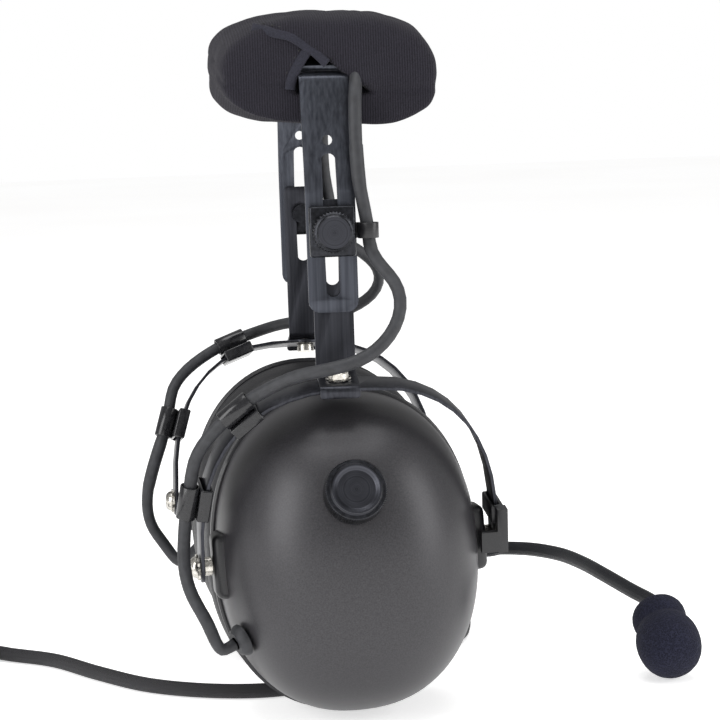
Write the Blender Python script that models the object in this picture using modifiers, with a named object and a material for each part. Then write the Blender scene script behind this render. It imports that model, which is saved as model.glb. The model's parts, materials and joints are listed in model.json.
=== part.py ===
"""Aviation headset: two oval ear cups hung in steel stirrups from a sprung steel headband.

Frame: metres, +Z up, +X towards the wearer's front, +Y towards the wearer's left. The origin is
the middle of the head pad's underside, where a head carries the headset.

Lengths in this file are millimetres, and MM turns them into metres as each mesh, curve and frame
is made. Each side is built in a side frame with +Y outwards and +Z up: the left one is the
world's, the right one is turned half a turn about Z, and front is +1 on the left and -1 on the
right, so that front * distance always lies towards the wearer's front.
"""

import math

import bmesh
import bpy
from mathutils import Matrix, Vector

MM = 0.001
GAP = 0.3  # between neighbours that touch on the real object

# Headband
BAND_X = -2.5  # middle of the headband, forward of the head rest
STRAP_WIDTH = 15.5
STRAP_THICK = 1.2
CROWN_RADIUS = 134.0
CROWN_TOP = 18.5  # middle of the spring's thickness, above the head rest
SPRING_END = 51.8  # outward
PLATE_END = 53.0
PLATE_THICK = 1.6
RIVET_OUT = 30.0
PAD_RINGS = [(54.0, 0.84), (52.5, 0.93), (48.0, 0.98), (36.0, 1.0), (18.0, 1.0), (0.0, 1.0)]  # (out, share)
PAD_HALF_WIDTH = 36.3
PAD_HEIGHT = 29.0
PAD_MIDDLE_X = 1.3
TUNNEL_WIDTH = 28.0
TUNNEL_HEIGHT = 11.0
FLEX_OUT, FLEX_UP = 52.8, 7.5  # where each arm flexes

# Arm, from the flex axis: (outward, up)
ARM_BENDS = [(0.2, -0.15), (2.2, -1.0), (2.9, -3.2), (9.4, -28.5), (10.7, -35.5), (10.7, -73.9)]
ARM_BEND_RADII = [2.4, 2.4, 30.0, 18.0]
ARM_OUT = ARM_BENDS[-1][0]
CLAMP_DROP = 48.5  # clamp screw below the flex axis
SLOT_TOP, SLOT_BOTTOM, SLOT_WIDTH = -24.6, -69.1, 4.6
ARM_HOLE_UP, ARM_HOLE_RADIUS = -20.5, 1.6

# Height adjuster, from the clamp screw
PLATE_WIDTH = 12.4
PLATE_IN = -1.5
PLATE_TOP = 9.7
CLAMP_SHANK_RADIUS = 1.8
BLOCK_SIZE = (14.3, 4.0, 15.7)
BLOCK_OUT = 4.0
KNOB_RADIUS, KNOB_LENGTH = 6.5, 7.0
CLIP_RING_FRONT, CLIP_RING_OUT = 11.1, 4.3
CLIP_RING_RADIUS, CLIP_BORE_RADIUS, CLIP_HEIGHT = 3.3, 2.5, 4.8
LEAF_OUT, LEAF_THICK = 1.3, 0.8
SWIVEL_OUT, SWIVEL_DROP = 5.9, 47.5  # stirrup's crown, from the clamp screw
TILT = math.radians(14.4)  # the foot and the stirrup lean in at the bottom
FOOT_UP, FOOT_REACH, LIP_DROP = 1.4, 7.3, 3.0

# Stirrup, from its crown
YAW = math.radians(5.5)  # swivelled off square at rest
CANT = {"right": math.radians(1.45), "left": math.radians(-0.5)}  # front pivot higher
LEG_SHIFT = {"right": 1.3, "left": -2.2}  # the legs sit ahead of the crown's middle
STIRRUP_WIDTH, STIRRUP_THICK = 10.0, 1.0
STIRRUP_HALF = 47.3
STIRRUP_DROP = 55.0
PIVOT_DROP = 56.3
LEG_BELOW_PIVOT = 5.0
STIRRUP_POWER = 2.6
BARREL_OUT, BARREL_ASIDE = 5.0, 2.6  # a wire clip's barrel, from the middle of the strip

# Ear cup, from the middle of its pivot axis
CUP_DROP = 1.0
DOME_HALF_X, DOME_HALF_Z, DOME_DEPTH = 41.7, 51.2, 45.0
RIM_OUT = -8.0
DOME_WALL = 2.2
OUTLINE_POWER, DOME_POWER = 2.25, 2.3
FLANGE = 1.2
SEAL_OUTER, SEAL_OPENING, SEAL_FACE = (43.6, 51.9), (29.0, 38.0), -31.0
BOSS_FACE = 43.8
VOLUME_FRONT, VOLUME_UP = -2.75, 22.9
GROMMET_FRONT, GROMMET_UP = -36.5, -22.1
GLAND_FRONT, GLAND_UP = 19.5, -31.0

# Cross cable and main cord
CABLE = 4.2
CORD = 5.0
TAIL = 4.0
FLOOR = -196.5  # the surface that the cups stand on
COIL_MIDDLE = (-160.0, 40.0)
COIL_INNER, COIL_OUTER, COIL_HEIGHT = 19.7, 35.3, 10.6
SPLITTER_SIZE = (15.0, 26.0, 8.0)
SPLITTER_X = COIL_MIDDLE[0] - COIL_OUTER - 3.5
SPLITTER_Y = 10.0  # its end nearest the coil
RELIEF_RADIUS, RELIEF_END = 3.2, 40.0  # around the cord where it comes down off the coil
PLUG_ASIDE = 8.6
TAIL_REACH = 116.0
CLIP_LOWER_UP = {"right": -33.5, "left": -29.0}
CLIP_UPPER_REAR = {"right": 31.0, "left": 23.0}
PIVOTS_BELOW = 143.0
# Each route's own points: (ahead, outward, above the pivots)
GROMMET_TO_CLIP = {
    "right": [(-43.5, 71.5, -17.5), (-48.0, 69.5, -9.5), (-50.0, 67.8, -0.5), (-49.6, 66.6, 8.0)],
    "left": [(-54.0, 66.5, -17.0), (-59.0, 64.5, -9.0), (-60.0, 62.0, 1.0), (-57.5, 59.6, 12.0)],
}
CLIP_TO_CLIP = {
    "right": [(-45.6, 68.8, 33.0), (-41.8, 71.6, 39.4)],
    "left": [(-49.6, 63.6, 40.0), (-43.0, 66.4, 47.5)],
}
CLIP_TO_ARM = {
    "right": [(-14.6, 79.0, 58.6), (-5.0, 82.5, 60.6), (5.9, 83.5, 63.2), (14.5, 81.5, 69.0)]
    + [(19.4, 78.5, 77.5), (18.8, 74.2, 85.5), (13.4, 69.5, 92.0)],
    "left": [(-8.0, 80.0, 60.8), (4.0, 83.5, 61.8), (18.0, 83.5, 64.8), (28.0, 81.0, 71.5)]
    + [(28.5, 76.5, 80.0), (21.5, 71.5, 87.0), (13.6, 69.0, 92.0)],
}
ARM_TO_PAD = [(9.8, 67.3, 110.0), (8.9, 66.7, 116.5), (8.6, 65.6, 123.0), (8.6, 63.2, 132.8)]
ARM_TO_PAD += [(9.0, 60.6, 142.5), (9.9, 57.4, 148.6), (10.7, 53.4, 151.2), (10.8, 49.6, 152.8)]

# Microphone
BOOM_PIVOT = (52.5, 13.9, -77.0)  # from the stirrup's crown
BOOM = 5.0
FOAM_ENTRY = (109.3, -17.0, -33.0)  # ahead, outward, above the pivots
FOAM_AXIS = (0.07, -0.85, -0.52)
FOAM_LENGTH = 27.5

for old in list(bpy.data.objects):
    bpy.data.objects.remove(old)

headset = bpy.data.collections.new("aviation_headset")
cutters = bpy.data.collections.new("cutters")
bpy.context.scene.collection.children.link(headset)
bpy.context.scene.collection.children.link(cutters)


# ---------------------------------------------------------------- materials


def linear(code):
    """A Principled base colour from an sRGB hex code."""
    parts = [int(code[i : i + 2], 16) / 255 for i in (0, 2, 4)]
    return [p / 12.92 if p <= 0.04045 else ((p + 0.055) / 1.055) ** 2.4 for p in parts] + [1.0]


def material(name, code, roughness, metallic=0.0):
    made = bpy.data.materials.new(name)
    made.use_nodes = True
    shader = made.node_tree.nodes["Principled BSDF"]
    shader.inputs["Base Color"].default_value = linear(code)
    shader.inputs["Roughness"].default_value = roughness
    shader.inputs["Metallic"].default_value = metallic
    made.diffuse_color = linear(code)
    return made


STEEL = material("black_steel", "2a2a2d", 0.38, 0.9)
SHELL = material("cup_shell", "3b3a3c", 0.45)
PLASTIC = material("black_plastic", "1b1b1d", 0.4)
ANODISED = material("anodised_knob", "222226", 0.3, 0.9)
NICKEL = material("bright_fastener", "c9c6c0", 0.25, 1.0)
KNIT = material("pad_knit", "232326", 0.95)
SKIN = material("ear_seal_skin", "1c1c1f", 0.6)
FOAM = material("windscreen_foam", "1d1f26", 0.95)
RUBBER = material("black_rubber", "1f1f21", 0.6)
JACKET = material("cord_jacket", "2a2a2d", 0.6)


# ---------------------------------------------------------------- frames and placing


def shift(x, y, z):
    return Matrix.Translation((x, y, z))


def turn(angle, axis):
    return Matrix.Rotation(angle, 4, axis)


def aimed(origin, direction):
    """A placement whose +Z runs along direction."""
    return shift(*origin) @ Vector(direction).to_track_quat("Z", "Y").to_matrix().to_4x4()


class Frame:
    """An empty that pieces are parented to, and its place in the world in millimetres."""

    def __init__(self, name, parent=None, placement=Matrix()):
        self.world = parent.world @ placement if parent else placement.copy()
        self.empty = bpy.data.objects.new(name, None)
        self.empty.empty_display_size = 0.01
        headset.objects.link(self.empty)
        if parent:
            self.empty.parent = parent.empty
        self.empty.matrix_local = in_metres(placement)

    def place(self, point):
        return self.world @ Vector(point)


def in_metres(placement):
    scaled = placement.copy()
    scaled.translation *= MM
    return scaled


def add_object(name, data, frame, placement, finish, is_cutter=False):
    made = bpy.data.objects.new(name, data)
    (cutters if is_cutter else headset).objects.link(made)
    made.parent = frame.empty
    made.matrix_local = in_metres(placement)
    if is_cutter:
        made.hide_render = True
        made.display_type = "WIRE"
    if finish:
        data.materials.append(finish)
    return made


def from_bmesh(name, shape, frame, placement, finish, is_cutter=False):
    bmesh.ops.scale(shape, vec=(MM, MM, MM), verts=shape.verts)
    data = bpy.data.meshes.new(name)
    shape.to_mesh(data)
    shape.free()
    data.shade_smooth()
    data.set_sharp_from_angle(angle=math.radians(35))
    return add_object(name, data, frame, placement, finish, is_cutter)


# ---------------------------------------------------------------- shapes


def box(name, frame, centre, size, finish=None, bevel=0.0, is_cutter=False):
    shape = bmesh.new()
    bmesh.ops.create_cube(shape, size=1.0, matrix=shift(*centre) @ Matrix.Diagonal((*size, 1)))
    made = from_bmesh(name, shape, frame, Matrix(), finish, is_cutter)
    if bevel:
        edges = made.modifiers.new("rounded edges", "BEVEL")
        edges.width = bevel * MM
        edges.segments = 2
    return made


def rod(name, frame, placement, radius, length, finish=None, sides=16, stretch=0.0, is_cutter=False):
    """A round bar along the placement's Z, or one of slot shape, drawn out along its X."""
    shape = bmesh.new()
    bmesh.ops.create_cone(
        shape, cap_ends=True, segments=sides, radius1=radius, radius2=radius, depth=length
    )
    for vert in shape.verts:
        vert.co.x += math.copysign(stretch / 2, vert.co.x) if abs(vert.co.x) > 1e-6 else 0.0
    return from_bmesh(name, shape, frame, placement, finish, is_cutter)


def turned(name, frame, placement, profile, finish, steps=24, closed=False, is_cutter=False):
    """A profile of (radius, height) points, from its top down its outer side, turned about Z."""
    shape = bmesh.new()
    verts = [shape.verts.new((r, 0, h)) for r, h in profile]
    ends = verts[1:] + verts[:1] if closed else verts[1:]
    for a, b in zip(verts, ends):
        shape.edges.new((a, b))
    made = from_bmesh(name, shape, frame, placement, finish, is_cutter)
    screw = made.modifiers.new("turned", "SCREW")
    screw.steps = screw.render_steps = steps
    screw.use_merge_vertices = True
    screw.merge_threshold = 0.00001
    screw.use_smooth_shade = True
    return made


def ribbon(name, frame, stations, thickness, across, finish):
    """A strip of sheet: stations are (u, up, half width), and across is the axis of its width."""
    shape = bmesh.new()
    rows = []
    for u, up, half in stations:
        if across == "X":
            row = [(-half, u, up), (half, u, up)]
        else:
            row = [(u, -half, up), (u, half, up)]
        rows.append([shape.verts.new(co) for co in row])
    for (a, b), (c, d) in zip(rows, rows[1:]):
        shape.faces.new((a, b, d, c))
    made = from_bmesh(name, shape, frame, Matrix(), finish)
    sheet = made.modifiers.new("sheet", "SOLIDIFY")
    sheet.thickness = thickness * MM
    sheet.offset = 0.0
    sheet.use_even_offset = True
    return made


def arc(points, radii, steps=5):
    """The corners of a bent line rounded: each middle point becomes an arc of its radius."""
    line = [Vector(points[0])]
    for before, corner, after, radius in zip(points, points[1:], points[2:], radii):
        corner = Vector(corner)
        to_before = (Vector(before) - corner).normalized()
        to_after = (Vector(after) - corner).normalized()
        half = to_before.angle(to_after) / 2
        reach = radius / math.tan(half)
        centre = corner + (to_before + to_after).normalized() * radius / math.sin(half)
        start = corner + to_before * reach - centre
        end = corner + to_after * reach - centre
        for k in range(steps + 1):
            spoke = start.lerp(end, k / steps).normalized() * radius
            line.append(centre + spoke)
    line.append(Vector(points[-1]))
    return line


def rounded_end(end, before, half, radius, steps=4):
    """Stations that narrow a strip to its end round corners of a radius."""
    along = (end - before).normalized()
    stations = []
    for k in range(steps + 1):
        angle = math.radians(84) * k / steps
        point = end - along * radius * (1 - math.sin(angle))
        stations.append((point.x, point.y, half - radius * (1 - math.cos(angle))))
    return stations


def strip_stations(line, half, first_radius, last_radius):
    """A line's stations, with the corners of each end rounded."""
    first = rounded_end(line[0], line[1], half, first_radius)
    middle = [(p.x, p.y, half) for p in line[1:-1]]
    return first[::-1] + middle + rounded_end(line[-1], line[-2], half, last_radius)


def oval_turned(name, frame, profile, outer, inner, finish, steps, closed):
    """A profile of (0 to 1 from the inner oval to the outer one, outward) points run round."""
    shape = bmesh.new()
    verts = [shape.verts.new((1 + share, y, 0)) for share, y in profile]
    ends = verts[1:] + verts[:1] if closed else verts[1:]
    edges = [shape.edges.new(pair) for pair in zip(verts, ends)]
    bmesh.ops.spin(
        shape,
        geom=verts + edges,
        cent=(0, 0, 0),
        axis=(0, 1, 0),
        angle=math.tau,
        steps=steps,
        use_merge=True,
    )
    for vert in shape.verts:
        share = math.hypot(vert.co.x, vert.co.z) - 1
        angle = math.atan2(vert.co.z, vert.co.x)
        x, z = oval(angle)
        vert.co.x = x * (inner[0] + share * (outer[0] - inner[0]))
        vert.co.z = z * (inner[1] + share * (outer[1] - inner[1])) - CUP_DROP
    bmesh.ops.remove_doubles(shape, verts=shape.verts, dist=0.0005)
    bmesh.ops.recalc_face_normals(shape, faces=shape.faces)
    return from_bmesh(name, shape, frame, Matrix(), finish)


def oval(angle):
    """A point of the cup's outline, for half lengths of 1."""
    c, s = math.cos(angle), math.sin(angle)
    power = 2 / OUTLINE_POWER
    return math.copysign(abs(c) ** power, c), math.copysign(abs(s) ** power, s)


def smooth_route(points, spacing):
    """Points every spacing along one smooth curve through a route's own points."""
    points = [Vector(p) for p in points]
    padded = [2 * points[0] - points[1]] + points + [2 * points[-1] - points[-2]]
    fine = []
    for a, b, c, d in zip(padded, padded[1:], padded[2:], padded[3:]):
        for k in range(12):
            t = k / 12
            fine.append(
                0.5
                * (
                    2 * b
                    + (c - a) * t
                    + (2 * a - 5 * b + 4 * c - d) * t**2
                    + (3 * b - a - 3 * c + d) * t**3
                )
            )
    fine.append(points[-1])
    lengths = [0.0]
    for a, b in zip(fine, fine[1:]):
        lengths.append(lengths[-1] + (b - a).length)
    count = max(2, round(lengths[-1] / spacing))
    found, k = [], 0
    for step in range(count + 1):
        target = lengths[-1] * step / count
        while k < len(fine) - 2 and lengths[k + 1] < target:
            k += 1
        share = (target - lengths[k]) / max(lengths[k + 1] - lengths[k], 1e-9)
        found.append(fine[k].lerp(fine[k + 1], share))
    return found, lengths[-1]


def tube(name, frame, route, diameter, finish, diameters_apart=2.2):
    points, length = smooth_route(route, diameters_apart * diameter)
    data = bpy.data.curves.new(name, "CURVE")
    data.dimensions = "3D"
    data.bevel_depth = diameter / 2 * MM
    data.bevel_resolution = 2
    data.use_fill_caps = True
    spline = data.splines.new("POLY")
    spline.points.add(len(points) - 1)
    for point, co in zip(spline.points, points):
        point.co = (*(co * MM), 1.0)
    print(f"{name}: {length:.0f} mm long")
    return add_object(name, data, frame, Matrix(), finish)


def boolean(target, other, operation):
    step = target.modifiers.new(f"{operation.lower()} {other.name}", "BOOLEAN")
    step.operation = operation
    step.object = other


def drill(target, frame, placement, radius, length=20.0, sides=12, stretch=0.0):
    cutter = rod(f"{target.name}_drill", frame, placement, radius, length, None, sides, stretch, True)
    boolean(target, cutter, "DIFFERENCE")


# ---------------------------------------------------------------- headband crown


def crown_height(radius, out):
    """Height above the head rest of a strip bent round the crown's centre."""
    return CROWN_TOP - CROWN_RADIUS + math.sqrt(radius**2 - out**2)


def crown_strip(name, frame, radius, end, thickness, width, finish):
    reach = math.asin(end / radius)
    stations = []
    for k in range(-8, 9):
        angle = reach * k / 8
        out = radius * math.sin(angle)
        stations.append((out, crown_height(radius, out), width / 2))
    return ribbon(name, frame, stations, thickness, "X", finish)


def crown_normal(out):
    """A placement on the spring's middle surface, +Z square to it."""
    up = math.sqrt(CROWN_RADIUS**2 - out**2)
    return aimed((0, out, crown_height(CROWN_RADIUS, out)), (0, out, up))


def make_crown(root):
    band = Frame("headband_frame", root, shift(BAND_X, 0, 0))
    spring = crown_strip("crown_spring", band, CROWN_RADIUS, SPRING_END, STRAP_THICK, STRAP_WIDTH, STEEL)
    plate_up = STRAP_THICK / 2 + GAP + PLATE_THICK / 2
    plate = crown_strip(
        "crown_plate", band, CROWN_RADIUS + plate_up, PLATE_END, PLATE_THICK, STRAP_WIDTH, STEEL
    )
    under, over = -STRAP_THICK / 2 - GAP, plate_up + PLATE_THICK / 2 + GAP
    profile = [(0, over + 1.6), (2.2, over + 1.4), (3.5, over), (1.7, over)]
    profile += [(1.7, under), (3.0, under), (3.0, under - 1.0), (0, under - 1.0)]
    for side, out in (("left", RIVET_OUT), ("right", -RIVET_OUT)):
        seat = crown_normal(out)
        turned(f"{side}_crown_rivet", band, seat, profile, STEEL, 12)
        for strip in (spring, plate):
            drill(strip, band, seat, 1.7 + GAP, 12.0, 12)
    make_head_pad(root, band)
    route = []
    for k in range(-4, 5):
        out = 49.0 * k / 4
        route.append((CLIP_RING_FRONT - 0.3, out, crown_height(CROWN_RADIUS + 0.6, out)))
    tube("pad_cable", band, route, CABLE, RUBBER, 3.0)


def make_head_pad(root, band):
    """A soft block over the spring, with a tunnel along it for the spring, plate and cable."""
    shape = bmesh.new()
    sides = 16
    stations = [(-o, s) for o, s in PAD_RINGS] + [(o, s) for o, s in reversed(PAD_RINGS[:-1])]
    loops = []
    for out, size in stations:
        sag = crown_height(CROWN_RADIUS, out) - CROWN_TOP
        loop = []
        for k in range(sides):
            angle = math.tau * k / sides
            c, s = math.cos(angle), math.sin(angle)
            x = PAD_MIDDLE_X + PAD_HALF_WIDTH * size * math.copysign(abs(c) ** 0.6, c)
            z = PAD_HEIGHT / 2 + PAD_HEIGHT / 2 * size * math.copysign(abs(s) ** 0.7, s) + 0.8 * sag
            loop.append(shape.verts.new((x, out, z)))
        loops.append(loop)
    for a, b in zip(loops, loops[1:]):
        for k in range(sides):
            shape.faces.new((a[k], a[(k + 1) % sides], b[(k + 1) % sides], b[k]))
    shape.faces.new(loops[0])
    shape.faces.new(loops[-1])
    bmesh.ops.recalc_face_normals(shape, faces=shape.faces)
    pad = from_bmesh("head_pad", shape, root, Matrix(), KNIT)
    stations = []
    for k in range(-6, 7):
        out = 60.0 * k / 6
        stations.append((out, crown_height(CROWN_RADIUS + 1.0, out), TUNNEL_WIDTH / 2))
    tunnel = ribbon("tunnel_cutter", band, stations, TUNNEL_HEIGHT, "X", None)
    headset.objects.unlink(tunnel)
    cutters.objects.link(tunnel)
    tunnel.hide_render = True
    tunnel.display_type = "WIRE"
    boolean(pad, tunnel, "DIFFERENCE")


# ---------------------------------------------------------------- arm and height adjuster


def make_arm(side, arm_frame):
    line = arc(ARM_BENDS, ARM_BEND_RADII)
    stations = strip_stations(line, STRAP_WIDTH / 2, 0.3, 3.5)
    arm = ribbon(f"{side}_arm", arm_frame, stations, STRAP_THICK, "X", STEEL)
    middle = (SLOT_TOP + SLOT_BOTTOM) / 2
    along_y = turn(math.pi / 2, "X")
    upright = along_y @ turn(math.pi / 2, "Z")
    length = SLOT_TOP - SLOT_BOTTOM - SLOT_WIDTH
    drill(arm, arm_frame, shift(0, ARM_OUT, middle) @ upright, SLOT_WIDTH / 2, 20, 16, length)
    drill(arm, arm_frame, shift(0, ARM_OUT - 3, ARM_HOLE_UP) @ along_y, ARM_HOLE_RADIUS, 14, 12)


def foot_point(along, up):
    """A point of the foot, from the clamp screw: along and square to the leaning foot."""
    out = SWIVEL_OUT + along * math.cos(TILT) + up * math.sin(TILT)
    return out, -SWIVEL_DROP - along * math.sin(TILT) + up * math.cos(TILT)


def make_slide_plate(side, slide, swivel_seat):
    reach = (PLATE_IN - SWIVEL_OUT - FOOT_UP * math.sin(TILT)) / math.cos(TILT)
    bends = [(PLATE_IN, PLATE_TOP), foot_point(reach, FOOT_UP)]
    bends += [foot_point(FOOT_REACH, FOOT_UP), foot_point(FOOT_REACH, FOOT_UP - LIP_DROP)]
    line = arc(bends, [1.6, 1.2], 3)
    stations = strip_stations(line, PLATE_WIDTH / 2, 2.0, 1.0)
    plate = ribbon(f"{side}_slide_plate", slide, stations, STRAP_THICK, "X", STEEL)
    upright = turn(math.pi / 2, "X") @ turn(math.pi / 2, "Z")
    top, bottom = CLAMP_SHANK_RADIUS + GAP, -17.0
    middle = shift(0, PLATE_IN, (top + bottom) / 2) @ upright
    drill(plate, slide, middle, CLAMP_SHANK_RADIUS + GAP, 8, 16, top - bottom - 2 * top)
    drill(plate, slide, swivel_seat, 1.4 + GAP, 8, 12)


def make_clamp(side, slide, knob_frame, front):
    along_y = turn(-math.pi / 2, "X")
    block = box(f"{side}_clamp_block", slide, (0, BLOCK_OUT, 0), BLOCK_SIZE, ANODISED, 0.8)
    drill(block, slide, along_y, CLAMP_SHANK_RADIUS + GAP, 20, 16)
    base = BLOCK_OUT + BLOCK_SIZE[1] / 2 + GAP
    nut = PLATE_IN - STRAP_THICK / 2 - GAP
    profile = [(0, base + KNOB_LENGTH), (KNOB_RADIUS - 0.8, base + KNOB_LENGTH)]
    profile += [(KNOB_RADIUS, base + KNOB_LENGTH - 0.8), (KNOB_RADIUS, base + 0.6)]
    profile += [(KNOB_RADIUS - 0.6, base), (CLAMP_SHANK_RADIUS, base), (CLAMP_SHANK_RADIUS, nut)]
    profile += [(3.4, nut), (3.4, nut - 2.0), (0, nut - 2.0)]
    turned(f"{side}_clamp_knob", knob_frame, along_y, profile, ANODISED, 20)
    reach = front * CLIP_RING_FRONT
    leaf = (reach / 2 - front * 2.6, LEAF_OUT, 0)
    size = (CLIP_RING_FRONT + 4.6, LEAF_THICK, CLIP_HEIGHT)
    clip = box(f"{side}_cable_clip", slide, leaf, size, PLASTIC)
    ring_place = shift(reach, CLIP_RING_OUT, 0)
    ring = rod(f"{side}_clip_ring", slide, ring_place, CLIP_RING_RADIUS, CLIP_HEIGHT, None, 20, 0, True)
    boolean(clip, ring, "UNION")
    drill(clip, slide, ring_place, CLIP_BORE_RADIUS, 10, 20)
    drill(clip, slide, along_y, CLAMP_SHANK_RADIUS + GAP, 20, 16)


def make_foot_screw(side, swivel_seat_frame):
    top = FOOT_UP + STRAP_THICK / 2 + GAP
    nut = -STIRRUP_THICK / 2 - GAP
    profile = [(0, top + 3.1), (1.8, top + 3.0), (3.0, top + 2.2), (3.25, top + 0.6), (4.0, top + 0.6)]
    profile += [(4.0, top), (1.4, top), (1.4, nut), (3.0, nut), (3.0, nut - 2.4), (0, nut - 2.4)]
    turned(f"{side}_foot_screw", swivel_seat_frame, Matrix(), profile, NICKEL, 12)


# ---------------------------------------------------------------- stirrup and what it carries


def stirrup_line(front, cant, steps=22):
    """The strip's middle, in the canted frame of its legs, with its crown level in the foot."""
    line = []
    for k in range(steps + 1):
        angle = math.pi * k / steps
        c, s = math.cos(angle), math.sin(angle)
        x = STIRRUP_HALF * math.copysign(abs(c) ** (2 / STIRRUP_POWER), c)
        z = -STIRRUP_DROP + STIRRUP_DROP * abs(s) ** (2 / STIRRUP_POWER)
        share = min(1.0, max(0.0, (abs(x) - 8.0) / 10.0))
        level = front * cant * (1 - share * share * (3 - 2 * share))
        line.append(Vector((x * math.cos(level) + z * math.sin(level), z - x * math.sin(level))))
    foot = -PIVOT_DROP - LEG_BELOW_PIVOT
    return [Vector((STIRRUP_HALF, foot))] + line + [Vector((-STIRRUP_HALF, foot))]


def stirrup_place(rear, front):
    """A placement on the strip on its rear side: +X outwards, square to it, +Z along it, up."""
    x = -front * rear
    z = -STIRRUP_DROP * (1 - (1 - (rear / STIRRUP_HALF) ** STIRRUP_POWER) ** (1 / STIRRUP_POWER))
    share_x = (rear / STIRRUP_HALF) ** (STIRRUP_POWER - 1) / STIRRUP_HALF
    share_z = ((z + STIRRUP_DROP) / STIRRUP_DROP) ** (STIRRUP_POWER - 1) / STIRRUP_DROP
    outward = Vector((-front * share_x, 0, share_z)).normalized()
    upward = Vector((front * share_z, 0, share_x)).normalized()
    sideways = upward.cross(outward)
    placement = Matrix((outward, sideways, upward)).transposed().to_4x4()
    return shift(x, 0, z) @ placement


def rear_at(height):
    """How far out the strip's middle is at a height below its crown."""
    share = 1 - ((height + STIRRUP_DROP) / STIRRUP_DROP) ** STIRRUP_POWER
    return STIRRUP_HALF * share ** (1 / STIRRUP_POWER)


def make_stirrup(side, legs, swivel, front):
    half = STIRRUP_WIDTH / 2
    stations = strip_stations(stirrup_line(front, CANT[side]), half, half, half)
    stirrup = ribbon(f"{side}_stirrup", legs, stations, STIRRUP_THICK, "Y", STEEL)
    hub = rod(f"{side}_hub", swivel, Matrix(), 6.0, STIRRUP_THICK, None, 24, 0, True)
    boolean(stirrup, hub, "UNION")
    drill(stirrup, swivel, Matrix(), 1.4 + GAP, 8, 12)
    drill(stirrup, legs, shift(0, 0, -PIVOT_DROP) @ turn(math.pi / 2, "Y"), 1.9, 120, 12)


def make_wire_clip(name, legs, rear, front):
    """A sleeve on the strip with a barrel for the cable on its outer face."""
    place = stirrup_place(rear, front)
    seat = Frame(f"{name}_frame", legs, place)
    length = 10.6
    clip = box(name, seat, (0, 0, 0), (4.0, 12.0, length), PLASTIC, 0.5)
    aside = BARREL_ASIDE * place_side(place)
    barrel = rod(f"{name}_barrel", seat, shift(BARREL_OUT, aside, 0), 3.1, length, None, 20, 0, True)
    boolean(clip, barrel, "UNION")
    drill(clip, seat, shift(BARREL_OUT, aside, 0), 2.55, 20, 20)
    window = box(f"{name}_window", seat, (0, 0, 0), (2.3, 10.8, 20), is_cutter=True)
    boolean(clip, window, "DIFFERENCE")


def place_side(placement):
    """+1 where the placement's Y points outwards from the head, and -1 where it points in."""
    return 1.0 if placement.to_3x3()[1][1] > 0 else -1.0


def barrel_points(legs, rear, front):
    """The lower end, middle and upper end of a wire clip's barrel, in the world."""
    place = stirrup_place(rear, front)
    aside = BARREL_ASIDE * place_side(place)
    return [legs.place(place @ Vector((BARREL_OUT, aside, up))) for up in (-5.3, 0.0, 5.3)]


def make_front_bracket(side, legs, front):
    """A sleeve on the front leg with a strap down past the pivot. The left one carries the boom."""
    bracket = box(f"{side}_front_bracket", legs, (front * 47.2, 0, -47), (4.2, 12.6, 6.0), PLASTIC, 0.5)
    strap = box(f"{side}_bracket_strap", legs, (front * 48.0, 8.0, -51.5), (3.4, 3.6, 15.0), is_cutter=True)
    boolean(bracket, strap, "UNION")
    if side == "left":
        plate_size, plate_middle = (12.5, 1.8, 28.5), (front * 51.8, 8.9, -70.1)
    else:
        plate_size, plate_middle = (8.6, 1.8, 7.0), (front * 45.4, 8.9, -55.0)
    plate = box(f"{side}_bracket_plate", legs, plate_middle, plate_size, is_cutter=True)
    boolean(bracket, plate, "UNION")
    window = box(f"{side}_bracket_window", legs, (front * 47.1, 0, -47), (2.0, 10.8, 20), is_cutter=True)
    boolean(bracket, window, "DIFFERENCE")
    if side == "left":
        x, _, z = BOOM_PIVOT
        drill(bracket, legs, shift(x, 8.9, z) @ turn(math.pi / 2, "X"), 1.8, 8, 16)


# ---------------------------------------------------------------- ear cup


def dome_seat(x, z):
    """A placement on the dome's outer face at (x, z), +Z square to it."""
    z_oval = z + CUP_DROP
    qx, qz = abs(x / DOME_HALF_X), abs(z_oval / DOME_HALF_Z)
    q = qx**OUTLINE_POWER + qz**OUTLINE_POWER
    rho = q ** (1 / OUTLINE_POWER)
    depth = (1 - rho**DOME_POWER) ** (1 / DOME_POWER)
    fall = rho ** (DOME_POWER - 1) * q ** (1 / OUTLINE_POWER - 1)
    normal = Vector(
        (
            fall * math.copysign(qx ** (OUTLINE_POWER - 1), x) / DOME_HALF_X,
            depth ** (DOME_POWER - 1) / DOME_DEPTH,
            fall * math.copysign(qz ** (OUTLINE_POWER - 1), z_oval) / DOME_HALF_Z,
        )
    )
    return aimed((x, RIM_OUT + DOME_DEPTH * depth, z), normal)


def make_dome(side, cup, seats):
    profile = []
    rows = 5
    for k in range(rows + 1):
        angle = math.pi / 2 * k / rows
        share = math.cos(angle) ** (2 / DOME_POWER) if k < rows else 0.0
        profile.append((share, RIM_OUT + DOME_DEPTH * math.sin(angle) ** (2 / DOME_POWER)))
    dome = oval_turned(
        f"{side}_dome", cup, profile, (DOME_HALF_X, DOME_HALF_Z), (0, 0), SHELL, 30, False
    )
    wall = dome.modifiers.new("wall", "SOLIDIFY")
    wall.thickness = DOME_WALL * MM
    wall.offset = -1.0
    for end in (-1, 1):
        middle = end * (BOSS_FACE + 37.2) / 2
        boss = box(
            f"{side}_boss", cup, (middle, 0, 0), (BOSS_FACE - 37.2, 11, 21), None, 1.0, True
        )
        boolean(dome, boss, "UNION")
        seat = shift(end * 44.0, 0, 0) @ turn(math.pi / 2, "Y")
        drill(dome, cup, seat, 1.6 + GAP, 11.0, 12)
    for seat, radius in seats:
        drill(dome, cup, seat, radius, 12.0, 12)


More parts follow.
